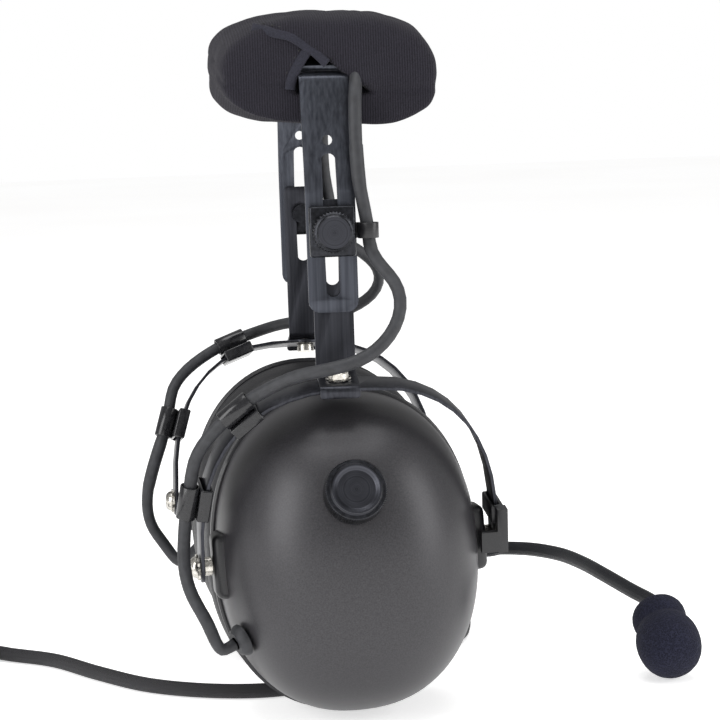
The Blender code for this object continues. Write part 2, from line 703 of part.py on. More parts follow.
def make_cup(side, cup, knob_frame, volume_seat, grommet_seat, gland_seat):
    seats = [(volume_seat, 3.0 + GAP), (grommet_seat, 2.4 + GAP)]
    if side == "left":
        seats.append((gland_seat, 3.4 + GAP))
    make_dome(side, cup, seats)
    rim = (DOME_HALF_X + FLANGE, DOME_HALF_Z + FLANGE)
    plate_in = RIM_OUT - GAP
    profile = [(0.45, plate_in), (1, plate_in), (1, plate_in - 3), (0.45, plate_in - 3)]
    oval_turned(f"{side}_seal_plate", cup, profile, rim, (0, 0), PLASTIC, 28, True)
    back = plate_in - 3 - GAP
    profile = [(0.12, back), (0.75, back), (0.93, back - 1.5), (1, back - 5), (1, SEAL_FACE + 6)]
    profile += [(0.9, SEAL_FACE + 1.5), (0.7, SEAL_FACE), (0.3, SEAL_FACE), (0.1, SEAL_FACE + 1.2)]
    profile += [(0, SEAL_FACE + 5), (0, back - 3)]
    oval_turned(f"{side}_ear_seal", cup, profile, SEAL_OUTER, SEAL_OPENING, SKIN, 28, True)
    profile = [(0, 2.0), (16.5, 2.0), (16.5, -3.6), (20, -3.6), (20, -8.0), (0, -8.0)]
    speaker = shift(0, plate_in, -CUP_DROP) @ turn(-math.pi / 2, "X")
    turned(f"{side}_ear_speaker", cup, speaker, profile, PLASTIC, 24)
    profile = [(0, 10.5), (8.7, 10.5), (9.5, 9.6), (9.5, 1.2), (8.9, 0.5), (3.0, 0.5), (3.0, -6), (0, -6)]
    turned(f"{side}_volume_knob", knob_frame, Matrix(), profile, ANODISED, 20)
    profile = [(0, 4.0), (3.6, 4.0), (4.6, 3.0), (5.2, 0.9), (2.4, 0.9), (2.4, -4.0), (0, -4.0)]
    turned(f"{side}_cable_grommet", cup, grommet_seat, profile, RUBBER, 16)


def make_pivot_screws(side, cup, front):
    """Each is a screw with its spacer collar and star washer, threaded into a boss."""
    collar_low, collar_high = BOSS_FACE + GAP, STIRRUP_HALF - STIRRUP_THICK / 2 - GAP
    washer = STIRRUP_HALF + STIRRUP_THICK / 2 + GAP
    profile = [(0, washer + 2.9), (2.4, washer + 2.7), (3.6, washer + 1.6), (3.6, washer + 0.8)]
    profile += [(4.2, washer + 0.8), (4.2, washer), (1.6, washer), (1.6, collar_high)]
    profile += [(3.0, collar_high), (3.0, collar_low), (1.6, collar_low), (1.6, 39.2), (0, 39.2)]
    for end, name in ((front, "front"), (-front, "rear")):
        seat = turn(end * math.pi / 2, "Y")
        turned(f"{side}_{name}_pivot_screw", cup, seat, profile, NICKEL, 12)


# ---------------------------------------------------------------- cross cable


def cable_point(side_frame, front, ahead, out, above_pivot):
    """A point beside the headband: ahead of its middle, outwards, and above the cup pivots."""
    return side_frame.place((front * ahead, out, above_pivot - PIVOTS_BELOW))


def make_cables(side, side_frame, legs, slide, cup, grommet_seat, front):
    def route(points):
        return [cable_point(side_frame, front, *p) for p in points]

    lower = barrel_points(legs, rear_at(CLIP_LOWER_UP[side]), front)
    upper = barrel_points(legs, CLIP_UPPER_REAR[side], front)
    ring = [
        slide.place((front * CLIP_RING_FRONT, CLIP_RING_OUT, up)) for up in (-5.5, -0.2, 0.2, 3.5)
    ]
    world = Frame(f"{side}_cable_frame")
    out = [cup.place(grommet_seat @ Vector((0, 0, up))) for up in (4.6, 9.6)]
    start = out + route(GROMMET_TO_CLIP[side]) + lower[:2]
    start[-1] = lower[1].lerp(lower[0], 0.04)
    tube(f"{side}_cup_cable", world, start, CABLE, RUBBER, 1.2)
    middle = [lower[1].lerp(lower[2], 0.04), lower[2]] + route(CLIP_TO_CLIP[side]) + upper
    middle += route(CLIP_TO_ARM[side]) + ring[:2]
    tube(f"{side}_stirrup_cable", world, middle, CABLE, RUBBER, 1.5)
    top = ring[2:] + route(ARM_TO_PAD)
    tube(f"{side}_arm_cable", world, top, CABLE, RUBBER, 1.6)


# ---------------------------------------------------------------- microphone


def make_microphone(boom_frame, side_frame):
    """The clamp turns on the left bracket, and its gooseneck carries the capsule in its foam."""
    along_y = turn(-math.pi / 2, "X")
    profile = [(0, 3.8), (5.2, 3.8), (6.0, 3.0), (6.0, -3.2), (5.4, -3.8), (1.5, -3.8)]
    profile += [(1.5, -6.4), (0, -6.4)]
    clamp = turned("boom_clamp", boom_frame, along_y, profile, PLASTIC, 24)
    along_x = turn(math.pi / 2, "Y")
    neck = rod("boom_ferrule", boom_frame, shift(7.6, 0, 0) @ along_x, 3.6, 9.8, None, 20, 0, True)
    boolean(clamp, neck, "UNION")
    drill(clamp, boom_frame, shift(12.5, 0, 0) @ along_x, BOOM / 2 + GAP, 9.0, 20)
    world = Frame("microphone_frame")
    start = [boom_frame.place((x, 0, 0)) for x in (8.6, 17.5)]
    curve = [(69.5, 66.5, -24.6), (79.0, 56.0, -23.6), (87.4, 43.0, -23.6), (92.8, 28.0, -24.3)]
    curve += [(97.0, 13.5, -25.6), (103.8, -3.5, -28.6)]
    entry = cable_point(side_frame, 1, *FOAM_ENTRY)
    axis = Vector(FOAM_AXIS).normalized()
    end = [entry + axis * up for up in (-4.0, 0.0, 2.2)]
    route = start + [cable_point(side_frame, 1, *p) for p in curve] + end
    tube("boom", world, route, BOOM, STEEL, 1.8)
    # The foam's +Z runs back towards the boom, so that its entry is its top.
    seat = aimed(entry, -axis)
    profile = [(0, -2.8), (4.2, -2.8), (5.0, -3.7), (5.0, -16.0), (0, -16.0)]
    turned("mic_capsule", world, seat, profile, PLASTIC, 20)
    profile = [(0, -16.4), (5.4, -16.4), (5.4, 0), (7.0, 0), (8.8, -3.0), (10.7, -9.5)]
    profile += [(10.9, -15.0), (9.4, -21.5), (6.0, -26.0), (0, -FOAM_LENGTH)]
    turned("windscreen", world, seat, profile, FOAM, 20)


# ---------------------------------------------------------------- main cord


def make_main_cord(root, cup, gland_seat):
    """The cord leaves the left dome, passes under the cups to the rear and ends in its coil."""
    profile = [(0, 10.0), (3.2, 10.0), (4.0, 4.0), (5.6, 3.2), (5.6, 0.9), (3.4, 0.9), (3.4, -5), (0, -5)]
    turned("cord_gland", cup, gland_seat, profile, RUBBER, 20)
    lying = FLOOR + CORD / 2 + 0.1
    out = [cup.place(gland_seat @ Vector((0, 0, up))) for up in (10.5, 21.5)]
    middle = Vector((*COIL_MIDDLE, lying))
    meet = math.radians(52)
    reach = COIL_OUTER + CORD / 2 + GAP
    arrive = [
        middle + Vector((reach * math.cos(a), reach * math.sin(a), 0)) for a in (meet, meet + 0.14)
    ]
    falling = [Vector((22.5, 102.5, lying + 2.6)), Vector((30.0, 106.5, lying + 0.3))]
    floor = [(38.5, 105.5), (46.5, 99), (51.5, 89), (53, 76), (51.5, 61), (48, 45), (40, 28), (27, 10)]
    floor += [(11, -7), (-6, -19), (-25, -26), (-45, -22), (-65, -9), (-82, 13), (-97, 36)]
    floor += [(-112, 49), (-126, 60)]
    route = out + falling + [Vector((x, y, lying)) for x, y in floor] + arrive
    tube("main_cord", root, route, CORD, JACKET, 2.2)
    low = lying - CORD / 2
    profile = [(COIL_INNER, low + COIL_HEIGHT), (COIL_OUTER, low + COIL_HEIGHT)]
    profile += [(COIL_OUTER, low), (COIL_INNER, low)]
    place = shift(*COIL_MIDDLE, 0)
    turned("cord_coil", root, place, profile, JACKET, 32, closed=True)
    make_cord_end(root, lying)


def make_cord_end(root, lying):
    """The splitter beside the coil, its two tails, and a plug on each."""
    low = lying - CORD / 2
    wide, length, high = SPLITTER_SIZE
    x, y, middle = SPLITTER_X, SPLITTER_Y, low + high / 2
    splitter = box("cord_splitter", root, (x, y - length / 2, middle), SPLITTER_SIZE, RUBBER, 2.0)
    lying_y = turn(math.pi / 2, "X")
    reach = RELIEF_END - y + 2.0
    place = shift(x, RELIEF_END - reach / 2, middle) @ lying_y
    relief = rod("splitter_relief", root, place, RELIEF_RADIUS, reach, None, 16, 0, True)
    boolean(splitter, relief, "UNION")
    for name, aside, plug_radius, shaft in (
        ("headphone", -1, 5.4, 3.17),
        ("mic", 1, 4.9, 2.6),
    ):
        start_y = y - length - GAP
        end_y = start_y - TAIL_REACH
        raised = low + plug_radius
        tail = TAIL / 2 + low
        plug_x = x + aside * PLUG_ASIDE
        route = [(x + aside * 3.6, start_y, middle), (x + aside * 4.6, start_y - 10, low + 3.0)]
        route += [(x + aside * 9.0, start_y - 26, tail), (x + aside * 13.5, start_y - 50, tail)]
        route += [(x + aside * 11.5, start_y - 76, tail), (x + aside * 9.0, start_y - 98, tail + 1.5)]
        route += [(plug_x, end_y + 6, raised), (plug_x, end_y, raised)]
        tube(f"{name}_tail", root, route, TAIL, JACKET, 2.6)
        seat = shift(plug_x, end_y - GAP, raised) @ lying_y
        profile = [(0, 66.0), (shaft * 0.55, 65.0), (shaft, 61.5), (shaft * 0.72, 59.5)]
        profile += [(shaft, 57.5), (shaft, 36), (plug_radius, 36), (plug_radius, 10), (2.8, 0), (0, 0)]
        turned(f"{name}_plug", root, seat, profile, ANODISED, 20)


# ---------------------------------------------------------------- assembly


def make_side(root, side, front):
    half_turn = 0 if side == "left" else math.pi
    side_frame = Frame(f"{side}_side", root, shift(BAND_X, 0, 0) @ turn(half_turn, "Z"))
    arm_frame = Frame(f"{side}_flex", side_frame, shift(0, FLEX_OUT, FLEX_UP))
    slide = Frame(f"{side}_slide", arm_frame, shift(0, ARM_OUT, -CLAMP_DROP))
    clamp_turn = Frame(f"{side}_clamp_turn", slide)
    seat_placement = shift(0, SWIVEL_OUT, -SWIVEL_DROP) @ turn(-TILT, "X")
    foot_seat = Frame(f"{side}_foot_seat", slide, seat_placement)
    swivel = Frame(f"{side}_swivel", foot_seat, turn(YAW, "Z"))
    legs_placement = shift(front * LEG_SHIFT[side], 0, 0) @ turn(-front * CANT[side], "Y")
    legs = Frame(f"{side}_legs", swivel, legs_placement)
    cup = Frame(f"{side}_cup", legs, shift(0, 0, -PIVOT_DROP) @ turn(TILT, "X"))
    volume_seat = dome_seat(front * VOLUME_FRONT, VOLUME_UP)
    grommet_seat = dome_seat(front * GROMMET_FRONT, GROMMET_UP)
    gland_seat = dome_seat(front * GLAND_FRONT, GLAND_UP)
    volume_turn = Frame(f"{side}_volume_turn", cup, volume_seat)
    make_arm(side, arm_frame)
    make_slide_plate(side, slide, seat_placement)
    make_clamp(side, slide, clamp_turn, front)
    make_foot_screw(side, foot_seat)
    make_stirrup(side, legs, swivel, front)
    make_wire_clip(f"{side}_upper_wire_clip", legs, CLIP_UPPER_REAR[side], front)
    make_wire_clip(f"{side}_lower_wire_clip", legs, rear_at(CLIP_LOWER_UP[side]), front)
    make_front_bracket(side, legs, front)
    make_cup(side, cup, volume_turn, volume_seat, grommet_seat, gland_seat)
    make_pivot_screws(side, cup, front)
    make_cables(side, side_frame, legs, slide, cup, grommet_seat, front)
    if side == "left":
        boom_frame = Frame("boom_turn", legs, shift(*BOOM_PIVOT))
        make_microphone(boom_frame, side_frame)
        make_main_cord(root, cup, gland_seat)
    for frame in (arm_frame, slide, foot_seat, cup, volume_turn):
        axes = ["%.4f %.4f %.4f" % tuple(frame.world.to_3x3().col[k]) for k in range(3)]
        place = "%.3f %.3f %.3f" % tuple(frame.world.translation)
        print(f"{frame.empty.name}: at {place} mm, x {axes[0]}, y {axes[1]}, z {axes[2]}")


root = Frame("head_rest")
make_crown(root)
make_side(root, "right", -1)
make_side(root, "left", 1)
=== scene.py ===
# %% [markdown]
# # An aviation headset
# Two oval ear cups hang in steel stirrups from a sprung headband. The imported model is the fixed
# frame here: every new piece is built where the frame says, in metres, and takes its looks in
# this file.

import json
import math

import bmesh
import bpy
from mathutils import Matrix, Vector
from mathutils.bvhtree import BVHTree
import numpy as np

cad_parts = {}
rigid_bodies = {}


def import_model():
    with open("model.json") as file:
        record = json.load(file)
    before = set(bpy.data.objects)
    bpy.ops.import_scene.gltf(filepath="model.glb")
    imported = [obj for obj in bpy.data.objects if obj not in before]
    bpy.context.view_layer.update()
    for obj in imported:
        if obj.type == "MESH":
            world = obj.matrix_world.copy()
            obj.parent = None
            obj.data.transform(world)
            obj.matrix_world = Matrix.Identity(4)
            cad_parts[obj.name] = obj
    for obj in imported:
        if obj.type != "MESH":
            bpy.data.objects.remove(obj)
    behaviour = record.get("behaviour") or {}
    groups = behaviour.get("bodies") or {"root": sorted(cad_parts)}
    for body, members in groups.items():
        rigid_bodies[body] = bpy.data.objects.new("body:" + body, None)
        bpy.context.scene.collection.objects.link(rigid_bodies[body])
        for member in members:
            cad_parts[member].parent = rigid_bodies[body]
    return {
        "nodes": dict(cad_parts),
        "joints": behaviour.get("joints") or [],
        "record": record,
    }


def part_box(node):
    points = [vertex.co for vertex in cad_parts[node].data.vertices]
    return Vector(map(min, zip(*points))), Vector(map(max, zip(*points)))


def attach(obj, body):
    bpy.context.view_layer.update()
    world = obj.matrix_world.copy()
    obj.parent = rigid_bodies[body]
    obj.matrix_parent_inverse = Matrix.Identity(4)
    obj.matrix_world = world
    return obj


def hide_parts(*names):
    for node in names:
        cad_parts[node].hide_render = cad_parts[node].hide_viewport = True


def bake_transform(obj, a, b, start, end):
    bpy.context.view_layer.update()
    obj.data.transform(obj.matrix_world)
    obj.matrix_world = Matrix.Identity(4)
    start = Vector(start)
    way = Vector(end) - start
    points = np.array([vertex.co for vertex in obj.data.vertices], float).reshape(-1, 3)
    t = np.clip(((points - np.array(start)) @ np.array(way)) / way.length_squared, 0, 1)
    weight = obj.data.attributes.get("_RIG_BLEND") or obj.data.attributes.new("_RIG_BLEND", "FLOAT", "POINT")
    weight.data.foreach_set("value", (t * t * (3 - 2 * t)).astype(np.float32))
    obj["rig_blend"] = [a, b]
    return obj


for old in list(bpy.data.objects):
    bpy.data.objects.remove(old)
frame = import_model()
nodes = frame["nodes"]
joints = {joint["name"]: joint for joint in frame["joints"]}
mounts = {mount["name"]: mount for mount in frame["record"]["mounts"]}
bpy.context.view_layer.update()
MM = 0.001
SIDES = ("right", "left")
print("nodes:", len(nodes), "joints:", len(joints))

# %% [markdown]
# ## The camera
# A long lens from a few steps back keeps both cups nearly the same size. The camera stands on
# the right of the headset, a little behind it and a little above, and leans by two degrees.

# %% Camera
AZIMUTH, ELEVATION, ROLL = math.radians(-5.28), math.radians(6.01), math.radians(2.0)
lens = bpy.data.cameras.new("camera")
lens.sensor_width = 36.0
lens.lens = 125.0
lens.clip_end = 50.0
camera = bpy.data.objects.new("camera", lens)
bpy.context.scene.collection.objects.link(camera)
bpy.context.scene.camera = camera
look = Vector(
    (
        -math.sin(AZIMUTH) * math.cos(ELEVATION),
        math.cos(AZIMUTH) * math.cos(ELEVATION),
        -math.sin(ELEVATION),
    )
)
level = Vector((math.cos(AZIMUTH), math.sin(AZIMUTH), 0.0))
upright = level.cross(look)
across = level * math.cos(ROLL) - upright * math.sin(ROLL)
up = level * math.sin(ROLL) + upright * math.cos(ROLL)
camera.matrix_world = Matrix.Translation((-0.06635, -0.83624, 0.00002)) @ (
    Matrix((across, up, -look)).transposed().to_4x4()
)

# %% [markdown]
# ## Helpers
# Colours are written as sRGB hex, as a colour picker shows them, and one function turns them
# linear. One small function adds any shader node with its settings and its links.


# %% Colours and nodes
def linear(code):
    parts = [int(code[i : i + 2], 16) / 255 for i in (0, 2, 4)]
    return [p / 12.92 if p <= 0.04045 else ((p + 0.055) / 1.055) ** 2.4 for p in parts] + [1.0]


def add_node(tree, kind, links=None, values=None, **settings):
    node = tree.nodes.new(kind)
    for name, value in settings.items():
        setattr(node, name, value)
    for socket, value in (values or {}).items():
        node.inputs[socket].default_value = value
    for socket, source in (links or {}).items():
        tree.links.new(source, node.inputs[socket])
    return node


def new_material(name, roughness, metallic=0.0, **sockets):
    """A Principled material: (material, its node tree, its shader)."""
    made = bpy.data.materials.new(name)
    made.use_nodes = True
    tree = made.node_tree
    shader = tree.nodes["Principled BSDF"]
    shader.inputs["Roughness"].default_value = roughness
    shader.inputs["Metallic"].default_value = metallic
    for socket, value in sockets.items():
        shader.inputs[socket.replace("_", " ")].default_value = value
    return made, tree, shader


def colour_between(tree, shader, factor, dark, light, low=0.3, high=0.7):
    """The base colour runs from dark to light as factor goes from low to high."""
    ramp = add_node(tree, "ShaderNodeValToRGB", {"Fac": factor})
    for stop, place, code in zip(ramp.color_ramp.elements, (low, high), (dark, light)):
        stop.position = place
        stop.color = linear(code)
    tree.links.new(ramp.outputs["Color"], shader.inputs["Base Color"])


def roughness_between(tree, shader, factor, smooth, rough):
    spread = add_node(tree, "ShaderNodeMapRange", {"Value": factor}, {"To Min": smooth, "To Max": rough})
    tree.links.new(spread.outputs["Result"], shader.inputs["Roughness"])


def bump(tree, shader, height, distance, strength=1.0):
    """distance is the height of the bump in metres."""
    node = add_node(tree, "ShaderNodeBump", {"Height": height}, {"Distance": distance, "Strength": strength})
    tree.links.new(node.outputs["Normal"], shader.inputs["Normal"])


def object_place(tree, stretch=(1.0, 1.0, 1.0)):
    """Object coordinates, which are metres in the frame, stretched for a grain."""
    place = add_node(tree, "ShaderNodeTexCoord").outputs["Object"]
    return add_node(tree, "ShaderNodeMapping", {"Vector": place}, {"Scale": stretch}).outputs["Vector"]


def noise(tree, place, size, detail=3.0):
    """Noise whose lumps are size metres across."""
    node = add_node(tree, "ShaderNodeTexNoise", {"Vector": place}, {"Scale": 1 / size, "Detail": detail})
    return node.outputs["Fac"]


# %% [markdown]
# ## Metals
# The band, arms and stirrups are sheet steel brushed along its length, blackened. The arms
# and crown plate take a lighter copy of the same steel, painted light for the brightness that
# falls on them. The streaks are noise stretched forty times in height.


# %% Steel, anodised skin, spun face, nickel
def black_steel(name, dark, light):
    made, tree, shader = new_material(name, 0.38, 0.85)
    grain = noise(tree, object_place(tree, (1.0, 1.0, 0.025)), 0.9 * MM, 3.0)
    colour_between(tree, shader, grain, dark, light, 0.25, 0.75)
    roughness_between(tree, shader, grain, 0.32, 0.42)
    bump(tree, shader, grain, 0.01 * MM, 0.4)
    return made


def anodised():
    """Black anodised aluminium: a hard dark skin that still shines like metal."""
    made, tree, shader = new_material("black anodised aluminium", 0.3, 0.8)
    wear = noise(tree, object_place(tree), 1.2 * MM)
    colour_between(tree, shader, wear, "1f2023", "333439")
    roughness_between(tree, shader, wear, 0.24, 0.38)
    return made


def spun_face():
    """A knob's face, cut on a lathe: fine rings, which spread a highlight into a fan."""
    made, tree, shader = new_material("spun aluminium face", 0.3, 0.9, Anisotropic=0.75)
    rings = add_node(tree, "ShaderNodeUVMap", uv_map="turned").outputs["UV"]
    split = add_node(tree, "ShaderNodeSeparateXYZ", {"Vector": rings})
    wave = add_node(
        tree, "ShaderNodeTexNoise", {"Vector": split.outputs["Y"]}, {"Scale": 4200.0}, noise_dimensions="3D"
    )
    colour_between(tree, shader, wave.outputs["Fac"], "26272a", "505158")
    roughness_between(tree, shader, wave.outputs["Fac"], 0.22, 0.4)
    tangent = add_node(tree, "ShaderNodeTangent", direction_type="UV_MAP", uv_map="turned")
    tree.links.new(tangent.outputs["Tangent"], shader.inputs["Tangent"])
    return made


def nickel():
    made, tree, shader = new_material("nickel plate", 0.22, 1.0)
    tarnish = noise(tree, object_place(tree), 0.9 * MM)
    colour_between(tree, shader, tarnish, "a9a59d", "dcd9d2")
    roughness_between(tree, shader, tarnish, 0.16, 0.34)
    return made


# %% [markdown]
# ## Paint, plastic, rubber
# The domes are moulded shells under a satin metallic paint with a mottle about half a
# millimetre across. Bosses and clips are plain black plastic.


# %% Shell paint and plastics
def shell_paint():
    made, tree, shader = new_material("satin charcoal paint", 0.4, 0.3, Coat_Weight=0.08, Coat_Roughness=0.35)
    place = object_place(tree)
    mottle = noise(tree, place, 0.45 * MM, 5.0)
    colour_between(tree, shader, mottle, "2a292c", "3b3a3d")
    roughness_between(tree, shader, mottle, 0.34, 0.46)
    bump(tree, shader, mottle, 0.012 * MM, 0.5)
    return made


def black_plastic(name="moulded black plastic", roughness=0.38, grain=0.35):
    made, tree, shader = new_material(name, roughness)
    pits = noise(tree, object_place(tree), grain * MM, 4.0)
    colour_between(tree, shader, pits, "151517", "242427")
    roughness_between(tree, shader, pits, roughness - 0.06, roughness + 0.08)
    bump(tree, shader, pits, 0.01 * MM, 0.5)
    return made


def black_rubber():
    """Soft grey-black rubber of the cable jacket and grommets: matte, with a dusty bloom."""
    made, tree, shader = new_material("cable rubber", 0.6, Sheen_Weight=0.03, Sheen_Roughness=0.5)
    bloom = noise(tree, object_place(tree), 2.5 * MM, 6.0)
    colour_between(tree, shader, bloom, "232427", "313236")
    fine = noise(tree, object_place(tree), 0.25 * MM, 2.0)
    bump(tree, shader, fine, 0.015 * MM, 0.5)
    return made


# %% [markdown]
# ## Soft finishes
# The pad's knit has ribs about 0.8 mm apart, drawn from the pad's own UV map so that they
# follow the cloth. Foam is a crumb of open cells. The cord's jacket is a coarse braid, whose
# UV map counts cord widths along and quarter turns round the cord.


# %% Knit, seal skin, foam, braid
def knit():
    made, tree, shader = new_material("ribbed cotton knit", 0.95, Sheen_Weight=0.03, Specular_IOR_Level=0.2)
    uv = add_node(tree, "ShaderNodeUVMap", uv_map="cloth").outputs["UV"]
    split = add_node(tree, "ShaderNodeSeparateXYZ", {"Vector": uv})
    ribs = add_node(
        tree, "ShaderNodeMath", {0: split.outputs["X"]}, {1: math.tau / (0.8 * MM)}, operation="MULTIPLY"
    )
    ribs = add_node(tree, "ShaderNodeMath", {0: ribs.outputs["Value"]}, operation="SINE")
    fuzz = noise(tree, object_place(tree), 0.35 * MM, 6.0)
    height = add_node(
        tree, "ShaderNodeMath", {0: ribs.outputs["Value"], 2: fuzz}, {1: 0.22}, operation="MULTIPLY_ADD"
    )
    colour_between(tree, shader, height.outputs["Value"], "17161b", "2c2a32", 0.2, 0.8)
    bump(tree, shader, height.outputs["Value"], 0.18 * MM, 0.9)
    return made


def binding_cloth():
    """The bias binding is a plain smooth weave, a shade bluer than the knit."""
    made, tree, shader = new_material("bias binding", 0.85, Sheen_Weight=0.04, Specular_IOR_Level=0.3)
    fuzz = noise(tree, object_place(tree), 0.4 * MM, 6.0)
    colour_between(tree, shader, fuzz, "1c1c24", "2c2c37")
    bump(tree, shader, fuzz, 0.1 * MM, 0.8)
    return made


def thread():
    made, tree, shader = new_material("black sewing thread", 0.7)
    colour_between(tree, shader, noise(tree, object_place(tree), 0.3 * MM), "0b0b0d", "1c1c20")
    return made


def seal_skin():
    """Soft vinyl over foam, with a fine leather-like grain and a low shine."""
    made, tree, shader = new_material("ear seal vinyl", 0.5)
    cells = add_node(
        tree, "ShaderNodeTexVoronoi", {"Vector": object_place(tree)}, {"Scale": 1 / (0.9 * MM)}
    )
    colour_between(tree, shader, cells.outputs["Distance"], "111113", "232326", 0.1, 0.8)
    roughness_between(tree, shader, cells.outputs["Distance"], 0.42, 0.6)
    bump(tree, shader, cells.outputs["Distance"], 0.08 * MM, 0.5)
    return made


def foam():
    made, tree, shader = new_material("open cell foam", 1.0, Sheen_Weight=0.03, Specular_IOR_Level=0.15)
    place = object_place(tree)
    cells = add_node(tree, "ShaderNodeTexVoronoi", {"Vector": place}, {"Scale": 1 / (0.55 * MM)})
    colour_between(tree, shader, cells.outputs["Distance"], "11121c", "272837", 0.05, 0.75)
    bump(tree, shader, cells.outputs["Distance"], 0.25 * MM, 1.0)
    return made


def braid():
    made, tree, shader = new_material("braided cord jacket", 0.72, Sheen_Weight=0.04, Sheen_Roughness=0.5)
    uv = add_node(tree, "ShaderNodeUVMap", uv_map="cord").outputs["UV"]
    weave = add_node(
        tree,
        "ShaderNodeTexWave",
        {"Vector": uv},
        {"Scale": 0.5, "Distortion": 0.6, "Detail": 1.0},
        wave_type="BANDS",
        bands_direction="DIAGONAL",
    )
    colour_between(tree, shader, weave.outputs["Fac"], "1d1c1f", "38373c")
    bump(tree, shader, weave.outputs["Fac"], 0.2 * MM, 0.8)
    return made


STEEL = black_steel("blackened brushed steel", "2b2c31", "424349")
# The same blackened steel with lighter colours: painted light for the brightness on the arms and crown plate.
PAINTED_LIGHT_STEEL = black_steel("blackened steel painted lighter", "393b42", "53565e")
ANODISED, SPUN, NICKEL = anodised(), spun_face(), nickel()
PAINT, PLASTIC = shell_paint(), black_plastic()
GLOSS = black_plastic("glossy black clip", 0.2, 0.8)
RUBBER, KNIT, BINDING, THREAD = black_rubber(), knit(), binding_cloth(), thread()
SKIN, FOAM, BRAID = seal_skin(), foam(), braid()
print("materials:", len(bpy.data.materials))

# %% [markdown]
# ## Making a piece
# Every new piece starts as a bmesh, is shaped with its operators in the frame's own metres,
# and leaves here as an object at the origin. It then rides on the body that carries it.


# %% Piece helpers
def piece(name, shape, finish, body=None, replaces=(), sharp=35.0):
    data = bpy.data.meshes.new(name)
    shape.to_mesh(data)
    shape.free()
    data.shade_smooth()
    data.set_sharp_from_angle(angle=math.radians(sharp))
    made = bpy.data.objects.new(name, data)
    bpy.context.scene.collection.objects.link(made)
    for material in finish if isinstance(finish, (list, tuple)) else [finish]:
        data.materials.append(material)
    if body:
        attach(made, body)
    if replaces:
        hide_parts(*replaces)
    return made


def tidy_up(shape):
    bmesh.ops.remove_doubles(shape, verts=shape.verts, dist=0.000005)
    bmesh.ops.recalc_face_normals(shape, faces=shape.faces)


def spun(profile, steps=64, closed=False):
    """A profile of (radius, height) points in mm, turned about Z."""
    shape = bmesh.new()
    verts = [shape.verts.new((r * MM, 0, h * MM)) for r, h in profile]
    ends = verts[1:] + verts[:1] if closed else verts[1:]
    edges = [shape.edges.new(pair) for pair in zip(verts, ends)]
    bmesh.ops.spin(
        shape, geom=verts + edges, cent=(0, 0, 0), axis=(0, 0, 1), angle=math.tau, steps=steps, use_merge=True
    )
    tidy_up(shape)
    return shape


def grown_ring(shape, ring):
    """Extrudes a ring of edges: (the new ring, its verts)."""
    made = bmesh.ops.extrude_edge_only(shape, edges=ring)["geom"]
    verts = [item for item in made if isinstance(item, bmesh.types.BMVert)]
    fresh = set(verts)
    edges = [item for item in made if isinstance(item, bmesh.types.BMEdge)]
    return [edge for edge in edges if set(edge.verts) <= fresh], verts


def aimed(origin, direction):
    return Matrix.Translation(origin) @ Vector(direction).to_track_quat("Z", "Y").to_matrix().to_4x4()


def placed(shape, place):
    bmesh.ops.transform(shape, matrix=place, verts=shape.verts)
    return shape


def ring_uv(shape, place, name="turned"):
    """UV for a turned face: u the turn in metres of arc, v the distance from the axis."""
    layer = shape.loops.layers.uv.new(name)
    back = place.inverted()
    for face in shape.faces:
        for loop in face.loops:
            local = back @ loop.vert.co
            radius = math.hypot(local.x, local.y)
            loop[layer].uv = (math.atan2(local.y, local.x) / math.tau, radius)


# %% [markdown]
# ## Each cup's own frame
# The cup's middle is where its tilt joint sits. Its X is that joint's axis, its Y points out
# of the head, opposite to the ear seal's face, and its Z is up.


# %% Cup frames
def cup_frame(side):
    tilt = joints[f"{side}_cup_tilt"]
    x = Vector(tilt["axis"]).normalized()
    y = -Vector(mounts[f"{side}_ear"]["axis"]).normalized()
    z = x.cross(y).normalized()
    return Matrix.Translation(tilt["pos_m"]) @ Matrix((x, z.cross(x), z)).transposed().to_4x4()


CUPS = {side: cup_frame(side) for side in SIDES}
FRONT = {"right": -1, "left": 1}
for side in SIDES:
    print(side, "cup middle:", [round(v, 4) for v in CUPS[side].translation])

# %% [markdown]
# ## Domes
# A dome is one oval profile run round. The spin makes a round shell, and each point is then
# moved from its circle to the oval, which is a little squarer than an ellipse.

# %% Oval shells
CUP_DROP = 1.0
OUTLINE_POWER, DOME_POWER = 2.25, 2.3
DOME_HALF, DOME_DEPTH, RIM_OUT, WALL = (41.7, 51.2), 45.0, -8.0, 2.2


def oval(angle):
    c, s = math.cos(angle), math.sin(angle)
    power = 2 / OUTLINE_POWER
    return math.copysign(abs(c) ** power, c), math.copysign(abs(s) ** power, s)


def oval_spun(profile, outer, inner, steps=96, closed=False):
    """A profile of (0 to 1 from inner oval to outer, outward) points in mm, run round Y."""
    shape = bmesh.new()
    verts = [shape.verts.new((1 + share, y, 0)) for share, y in profile]
    ends = verts[1:] + verts[:1] if closed else verts[1:]
    edges = [shape.edges.new(pair) for pair in zip(verts, ends)]
    bmesh.ops.spin(
        shape, geom=verts + edges, cent=(0, 0, 0), axis=(0, 1, 0), angle=math.tau, steps=steps, use_merge=True
    )
    for vert in shape.verts:
        share = math.hypot(vert.co.x, vert.co.z) - 1
        x, z = oval(math.atan2(vert.co.z, vert.co.x))
        vert.co.x = x * (inner[0] + share * (outer[0] - inner[0])) * MM
        vert.co.z = (z * (inner[1] + share * (outer[1] - inner[1])) - CUP_DROP) * MM
        vert.co.y *= MM
    tidy_up(shape)
    return shape


